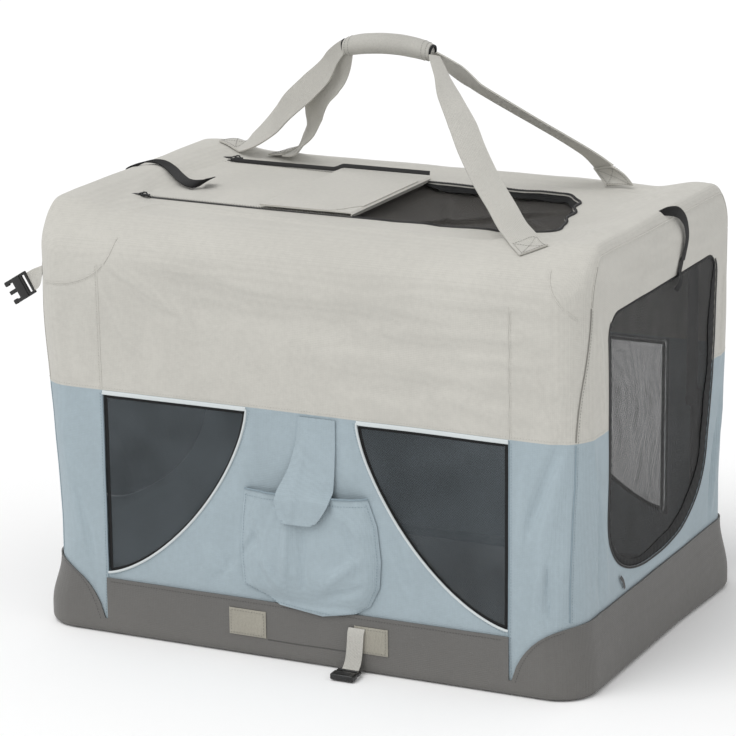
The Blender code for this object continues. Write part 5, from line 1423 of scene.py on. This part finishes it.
def build_grip():
    """A padded sleeve wrapped round the straps, closed along its underside."""

    def where(u, v):
        angle = 2 * pi * u - pi / 2
        x = GRIP_X + (2 * v - 1) * GRIP_HALF
        arch = GRIP_ARCH * (1 - (2 * v - 1) ** 2)
        ends = 1 - 0.16 * (1 - sin(pi * min(1.0, max(0.0, v)))) ** 6
        tuck = 0.06 * exp(-(((angle + pi / 2) % (2 * pi)) / 0.25) ** 2)
        fullness = 1 + 0.05 * sin(pi * v) + 0.03 * noise.noise(Vector((x * 45, angle, 90.0)))
        r = 0.0150 * ends * fullness * (1 - tuck)
        return Vector((x, GRIP_Y + r * cos(angle) * 1.03, GRIP_Z + arch + r * sin(angle) * 0.92))

    def out(p):
        return Vector((0, p.y - GRIP_Y, p.z - GRIP_Z)).normalized()

    bm = grid(40, 60, where)
    bmesh.ops.remove_doubles(bm, verts=bm.verts[:], dist=0.00002)
    bmesh.ops.holes_fill(bm, edges=[e for e in bm.edges if e.is_boundary], sides=0)
    bmesh.ops.recalc_face_normals(bm, faces=bm.faces[:])
    grip = finish_piece(bm, "handle_sleeve", CREAM_WEBBING, "grip", "handle_grip")
    rows = []
    for side in (-1, 1):
        for inset in (0.004, 0.010):
            line = []
            for k in range(41):
                p = where(k / 40, 0.5 + side * (0.5 - inset / (2 * GRIP_HALF)))
                arch = GRIP_ARCH * (1 - ((p.x - GRIP_X) / GRIP_HALF) ** 2)
                line.append(p + (p - Vector((p.x, GRIP_Y, GRIP_Z + arch))).normalized() * 0.0002)
            rows.append(stitches(line, pitch=0.0036, out=out))
    finish_piece(joined(*rows), "handle_sleeve_stitching", WEBBING_THREAD, "grip")
    for name, side in (("left", -1), ("right", 1)):
        x = GRIP_X + side * (GRIP_HALF + 0.0006)
        ring = []
        for k in range(24):
            a = 2 * pi * k / 24
            ring.append((x + side * 0.0015 * sin(a), GRIP_Y + 0.0100 * cos(a), GRIP_Z + 0.0006 + 0.0085 * sin(a)))
        bm = cord_bm(ring, 0.0020, closed=True, normal=(1, 0, 0))
        finish_piece(bm, f"handle_binding_{name}", BLACK_TAPE, "grip")


# ---------------------------------------------------------------- pocket and tab

POCKET_EDGE = {  # left and right edges in X at heights, as the cloth sags
    "left": ((0.076, -0.030), (0.088, -0.056), (0.100, -0.0885), (0.140, -0.092), (0.200, -0.089), (0.2405, -0.0835)),
    "right": (
        (0.076, 0.030), (0.086, 0.082), (0.098, 0.103), (0.125, 0.117), (0.160, 0.119), (0.205, 0.113), (0.2405, 0.098),
    ),
}


def edge_at(name, z):
    line = POCKET_EDGE[name]
    for (z0, x0), (z1, x1) in zip(line, line[1:]):
        if z <= z1:
            t = max(0.0, (z - z0) / (z1 - z0))
            return x0 + (x1 - x0) * t
    return line[-1][1]


POCKET_FOLDS = (  # in X and Z
    (-0.012, 0.235, -0.020, 0.120, 0.007, 0.0030),
    (0.004, 0.225, 0.010, 0.110, 0.006, -0.0026),
    (-0.060, 0.150, -0.020, 0.098, 0.007, 0.0026),
    (-0.075, 0.200, -0.050, 0.110, 0.006, -0.0018),
    (0.040, 0.120, 0.095, 0.165, 0.008, 0.0028),
    (0.030, 0.100, 0.100, 0.125, 0.006, -0.0022),
    (0.055, 0.230, 0.100, 0.190, 0.007, 0.0022),
    (0.070, 0.215, 0.095, 0.140, 0.006, -0.0020),
    (-0.040, 0.230, 0.030, 0.215, 0.006, -0.0020),
)


def pocket_where(u, v):
    """The pouch's outer face: sewn at its sides and foot, its mouth standing off the wall."""
    z = 0.0765 + 0.164 * v
    left, right = edge_at("left", z), edge_at("right", z)
    middle, half = (left + right) / 2, (right - left) / 2
    p = 2 * u - 1
    x = middle + half * p
    z += 0.008 * (1 - v) ** 2 * (0.3 - p) * 0.5 + 0.006 * v * v * max(0.0, p)
    swell = (1 - abs(p) ** (7.5 if p > 0 else 3.0)) * (1 - (1 - v) ** 4.0)
    depth = 0.017 - 0.004 * v + 0.004 * exp(-((v - 0.25) / 0.2) ** 2)
    if v > 0.8:
        depth -= 0.004 * rise(v, 0.8, 1.0) * (1 - abs(p))
    fold = 1.4 * sum(crease(x, z, line) for line in POCKET_FOLDS) * min(1.0, swell * 2.5)
    fold += 0.0012 * ripple(x * 2.2, z * 2.2, 100.0) * swell
    point = warp((x, -WALL_W, z))
    point.y -= 0.0006 + CLOTH + depth * swell + fold
    point.y -= 0.0045 * (1 - rise(z, 0.080, 0.090))  # clear of the tub's rim
    return point


def build_pocket():
    out = (0, -1, 0)
    pouch = sewn(facing(grid(64, 50, pocket_where), out), "pocket_pouch", BLUE_OXFORD, "base", "pocket", folds=True)
    hem = [pocket_where(k / 50, 0.995) + Vector((0, -0.0004, 0)) for k in range(51)]
    parts = [cord_bm(hem, 0.0015, flatten=0.9, normal=out)]
    # Rows of stitches below the mouth, up both sides and along the foot, as ways over the pouch
    for lift, steps, way in (
        (0.0002, 50, lambda t: (0.01 + 0.98 * t, 0.94)),
        (0.0003, 40, lambda t: (0.018, 0.03 + 0.94 * t)),
        (0.0003, 40, lambda t: (0.982, 0.03 + 0.94 * t)),
        (0.0003, 50, lambda t: (0.05 + 0.90 * t, 0.022)),
    ):
        line = [pocket_where(*way(k / steps)) + Vector((0, -lift, 0)) for k in range(steps + 1)]
        parts.append(stitches(line, out=out))
    finish_piece(joined(*parts), "pocket_hem", BLUE_THREAD, "base", folds=True)


TAB_LINE = smooth_line(  # how the tab hangs out from the wall: distance in Y and height
    [(0, y, z) for z, y in (
        (0.3485, 0.0), (0.325, 0.0003), (0.300, 0.0014), (0.275, 0.0055), (0.258, 0.0125),
        (0.245, 0.0185), (0.232, 0.0208), (0.214, 0.0208), (0.2035, 0.0205),
    )], 24,
)


def tab_where(u, v):
    """A tab that hangs from the colour line over the pocket's mouth; it widens a little on its way."""
    place = v * 24
    i = min(int(place), 23)
    p = TAB_LINE[i].lerp(TAB_LINE[i + 1], place - i)
    left = -0.003 - 0.026 * rise(v, 0.0, 0.72) + 0.0095 * rise(v, 0.72, 1.0)
    right = 0.052 - 0.002 * rise(v, 0.0, 0.6) - 0.021 * rise(v, 0.68, 1.0)
    x = left + (right - left) * u
    curl = 0.0030 * (1 - u) ** 2 * rise(v, 0.3, 1.0) + 0.0020 * crease(u, v, (0.2, 0.1, 0.35, 0.9, 0.10, 1.0))
    base = warp((x, -WALL_W, p.z))
    hug = 1 - 0.7 * u * u * (1 - rise(v, 0.56, 0.72))  # its right edge keeps to the wall down to the mouth
    base.y -= 0.0008 + (p.y + curl) * hug + 0.0008 * noise.noise(Vector((x * 30, p.z * 30, 110.0)))
    base.z += 0.004 * rise(v, 0.92, 1.0) * (abs(2 * u - 1) ** 6)  # its lower corners turn up
    return base


def build_tab():
    bm = facing(grid(22, 48, tab_where), (0, -1, 0))
    tab = sewn(bm, "pocket_tab_cloth", BLUE_OXFORD, "pocket_tab", "pocket_tab", offset=1.0, folds=True)


# ---------------------------------------------------------------- patches, webbing and buckles

PATCH_Z, PATCH_HALF = 0.048, 0.019


def build_patch(name, x, width):
    """A patch of webbing sewn flat on the tub's front."""

    def where(u, v):
        p, q = 2 * u - 1, 2 * v - 1
        px, pz = x + p * width / 2, PATCH_Z + q * PATCH_HALF
        edge = max(abs(p), abs(q)) ** 12
        point = warp((px, -TUB_W, pz))
        point.y -= 0.0022 - 0.0010 * edge + 0.0003 * noise.noise(Vector((px * 80, pz * 80, 120.0)))
        return point

    out = (0, -1, 0)
    label = f"base_patch_{name}"
    bm = facing(grid(26, 18, where, (width, 2 * PATCH_HALF)), out)
    sewn(bm, f"{label}_webbing", STONE_WEBBING, "base", label, 0.0018)
    inset = 0.003
    corners = [(-1, -1), (1, -1), (1, 1), (-1, 1), (-1, -1)]
    line = [(x + a * (width / 2 - inset), 0, PATCH_Z + b * (PATCH_HALF - inset)) for a, b in corners]
    path = [warp((p.x, -TUB_W, p.z)) + Vector((0, -0.0023, 0)) for p in even_steps(line, 0.004)]
    finish_piece(stitches(path, out=out), f"{label}_stitching", WEBBING_THREAD, "base")


def buckle_half(start, along, across, plug):
    """One half of a side-release buckle with a slotted end, drawn in its own directions."""
    along, across = Vector(along).normalized(), Vector(across).normalized()
    place = Matrix((along, across, along.cross(across).normalized())).transposed().to_4x4()
    place.translation = Vector(start)
    bm = bmesh.new()

    def block(x0, x1, y0, y1, z0, z1, bevel=0.0012):
        """A bevelled block between limits along, across and above the buckle."""
        low, high = Vector((x0, min(y0, y1), z0)), Vector((x1, max(y0, y1), z1))
        size = Matrix.Diagonal((*(high - low), 1.0))
        made = bmesh.ops.create_cube(bm, size=1.0, matrix=Matrix.Translation((low + high) / 2) @ size)
        edges = list({e for v in made["verts"] for e in v.link_edges})
        bmesh.ops.bevel(bm, geom=edges, offset=bevel, segments=3, affect="EDGES", profile=0.5, material=-1)

    half, thick = 0.017, 0.0042
    block(0.0, 0.004, -half, half, -0.0022, 0.0022)
    block(0.009, 0.0125, -half, half, -0.0026, 0.0026)
    for side in (-1, 1):
        block(0.001, 0.012, side * half, side * (half - 0.004), -0.0026, 0.0026)
    if plug:
        block(0.0118, 0.026, -half, half, -thick, thick, 0.0018)
        for x in (0.0, 0.0036, 0.0072):  # three grip ribs
            block(0.0145 + x, 0.0160 + x, 0.004 - half, half - 0.004, thick - 0.0006, thick + 0.0008, 0.0005)
        for side in (-1, 1):  # two prongs with hooks
            block(0.0250, 0.0335, side * half, side * (half - 0.0052), -0.0026, 0.0026, 0.0010)
            block(0.0325, 0.0400, side * (half + 0.0002), side * (half - 0.0068), -0.0028, 0.0028, 0.0016)
        block(0.0250, 0.0392, -0.0028, 0.0028, -0.0020, 0.0020, 0.0009)
    else:
        block(0.0118, 0.028, -half, half, -thick, thick, 0.0018)
        block(0.0150, 0.0240, -half - 0.0004, half + 0.0004, -0.0030, 0.0030)
        for x in (0.0, 0.0040):
            block(0.0165 + x, 0.0182 + x, -0.010, 0.010, thick - 0.0006, thick + 0.0007, 0.0005)
    bm.transform(place)
    return bm


def build_corner_buckle():
    """Short webbing from the roof's corner with the plug half of a buckle hanging from it."""
    line = (
        ((-0.4105, -0.240, 0.5285), (0, 1, 0)), ((-0.4130, -0.240, 0.515), (-0.05, 1, 0.05)),
        ((-0.4165, -0.241, 0.503), (-0.25, 0.9, 0.3)), ((-0.4230, -0.242, 0.4945), (-0.45, 0.6, 0.6)),
        ((-0.4320, -0.242, 0.4875), (-0.53, 0.2, 0.83)), ((-0.4420, -0.242, 0.4805), (-0.53, 0, 0.85)),
    )
    web = ribbon_bm([(p, across, 0.026) for p, across in line], 0.0020, 50)
    finish_piece(web, "corner_webbing_tape", CREAM_WEBBING, "corner_buckle", "corner_webbing")
    half = buckle_half((-0.4385, -0.2420, 0.4825), (-0.85, 0, -0.53), (-0.53, 0, 0.85), plug=True)
    finish_piece(half, "corner_buckle_plug", ACETAL, "corner_buckle", "corner_buckle")


def build_closure():
    """Webbing down the tub's front with the socket half lying on the floor before it."""
    points = [(0.084, -0.2936, 0.0645), (0.083, -0.2955, 0.058), (0.082, -0.2955, 0.045), (0.081, -0.2960, 0.030)]
    points += [(0.080, -0.2985, 0.0175), (0.079, -0.3030, 0.0100), (0.079, -0.3085, 0.0072)]
    web = ribbon_bm([(p, (1, 0, 0), 0.024) for p in smooth_line(points, 24)], 0.0020, 40)
    finish_piece(web, "closure_webbing_tape", CREAM_WEBBING, "closure", "closure_webbing")
    half = buckle_half((0.079, -0.3050, 0.0068), (0, -1, -0.03), (1, 0, 0), plug=False)
    finish_piece(half, "closure_buckle_socket", ACETAL, "closure", "closure_buckle")


# ---------------------------------------------------------------- floor mat and frame

MAT_L, MAT_W, MAT_Z = 0.3817, 0.2617, 0.0066  # half sizes, and the height of its underside


def build_mat():
    """The fleece mat: a thin cushion, fullest in its middle."""

    def where(u, v):
        x, y = round_corner((2 * u - 1) * MAT_L, (2 * v - 1) * MAT_W, MAT_L, MAT_W, 0.030)
        return Vector((x, y, MAT_Z))

    bm = grid(90, 62, where)
    made = bmesh.ops.extrude_face_region(bm, geom=bm.faces[:])
    for vert in made["geom"]:
        if isinstance(vert, bmesh.types.BMVert):
            p, q = vert.co.x / MAT_L, vert.co.y / MAT_W
            crown = (1 - min(1.0, abs(p)) ** 5) * (1 - min(1.0, abs(q)) ** 5)
            vert.co.z = MAT_Z + 0.004 + 0.013 * crown
    bmesh.ops.recalc_face_normals(bm, faces=bm.faces[:])
    mat = finish_piece(bm, "floor_mat_fleece", MAT_FLEECE, "base", "floor_mat")
    swell(mat)


def swell(piece, voxel=0.006, pressure=4.0, cap=0.007):
    """Blows a cloth copy up a little by simulation, keeps it off the floor board, and smooths it."""
    remesh = piece.modifiers.new("even", "REMESH")
    remesh.mode, remesh.voxel_size = "VOXEL", voxel
    settle(piece)
    start = [v.co.copy() for v in piece.data.vertices]
    settings = piece.modifiers.new("cloth", "CLOTH").settings
    settings.use_pressure, settings.uniform_pressure_force = True, pressure
    settings.effector_weights.gravity, settings.quality = 0.0, 4
    scene = bpy.context.scene
    for f in range(1, 21):
        scene.frame_set(f)
    graph = bpy.context.evaluated_depsgraph_get()
    mesh = bpy.data.meshes.new_from_object(piece.evaluated_get(graph))
    piece.modifiers.clear()
    edge_x, edge_y = MAT_L + 0.0005, MAT_W + 0.0005
    for vert, old in zip(mesh.vertices, start):
        move = vert.co - old
        if move.length > cap:
            move *= cap / move.length
        x, y, z = old + move
        vert.co = (max(-edge_x, min(edge_x, x)), max(-edge_y, min(edge_y, y)), min(0.0290, max(MAT_Z, z)))
    piece.data = mesh
    scene.frame_set(1)
    mesh.shade_smooth()


def dress_frame():
    """The tubes and the board keep the CAD's shape and get their finish."""
    for name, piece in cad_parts.items():
        tube = name.startswith(("base_ring", "lower_leg", "upper_leg", "roof_arch", "roof_rail"))
        if tube or name == "floor_board":
            piece.data.materials.clear()
            piece.data.materials.append(POWDER_COAT if tube else BOARD_PLASTIC)


# ---------------------------------------------------------------- floor and light

def build_stage():
    """A pale floor that keeps the shadow, a white surround, and soft light from above."""
    material, tree, shader, _ = new_material("studio_floor", 0.9, specular=0.0)
    fill(tree, shader, {"Base Color": linear("#FCFCFC")})
    bm = bmesh.new()
    bmesh.ops.create_grid(bm, x_segments=1, y_segments=1, size=30.0)
    floor = new_object(bm, "studio_floor")
    floor.data.materials.append(material)
    floor.location.z = -0.0002
    world = bpy.data.worlds.new("studio")
    world.use_nodes = True
    bpy.context.scene.world = world
    tree = world.node_tree
    rays = node(tree, "LightPath").outputs
    seen = node(tree, "Math ADD", rays["Is Camera Ray"], rays["Is Transmission Ray"])
    seen = node(tree, "Math MINIMUM", node(tree, "Math ADD", seen, rays["Is Glossy Ray"]), 1.0)
    strength = node(tree, "MapRange", seen, 0.0, 1.0, 0.74, 1.0)  # white to the eye, dimmer as light
    fill(tree, tree.nodes["Background"], {"Color": (1.0, 1.0, 1.0, 1.0), "Strength": strength})
    sun = bpy.data.lights.new("softbox_above", "SUN")
    sun.energy, sun.angle = 1.25, radians(40)
    lamp = bpy.data.objects.new("softbox_above", sun)
    bpy.context.scene.collection.objects.link(lamp)
    lamp.rotation_mode = "QUATERNION"
    lamp.rotation_quaternion = Vector((-0.22, -0.48, 0.85)).to_track_quat("Z", "Y")


build_roof()
build_walls()
build_tub()
for name, face in (("front", -1), ("back", 1)):
    for side in (-1, 1):
        build_window(name, face, side)
build_door("left", -1)
build_door("right", 1)
build_seams()
build_hatch()
build_roof_tie("left", LEFT_TIE, 0.016)
build_roof_tie("right", RIGHT_TIE, 0.014)
build_end_ties("left", -1, 0.068, 0.066, 0.016)
build_end_ties("right", 1, 0.0605, 0.033, 0.014)
for name, line in STRAPS.items():
    build_strap(name, line)
build_grip()
build_pocket()
build_tab()
build_patch("left", -0.083, 0.056)
build_patch("right", 0.104, 0.050)
build_corner_buckle()
build_closure()
build_mat()
dress_frame()
place_camera()
build_stage()
bpy.context.scene.view_settings.view_transform = "Standard"
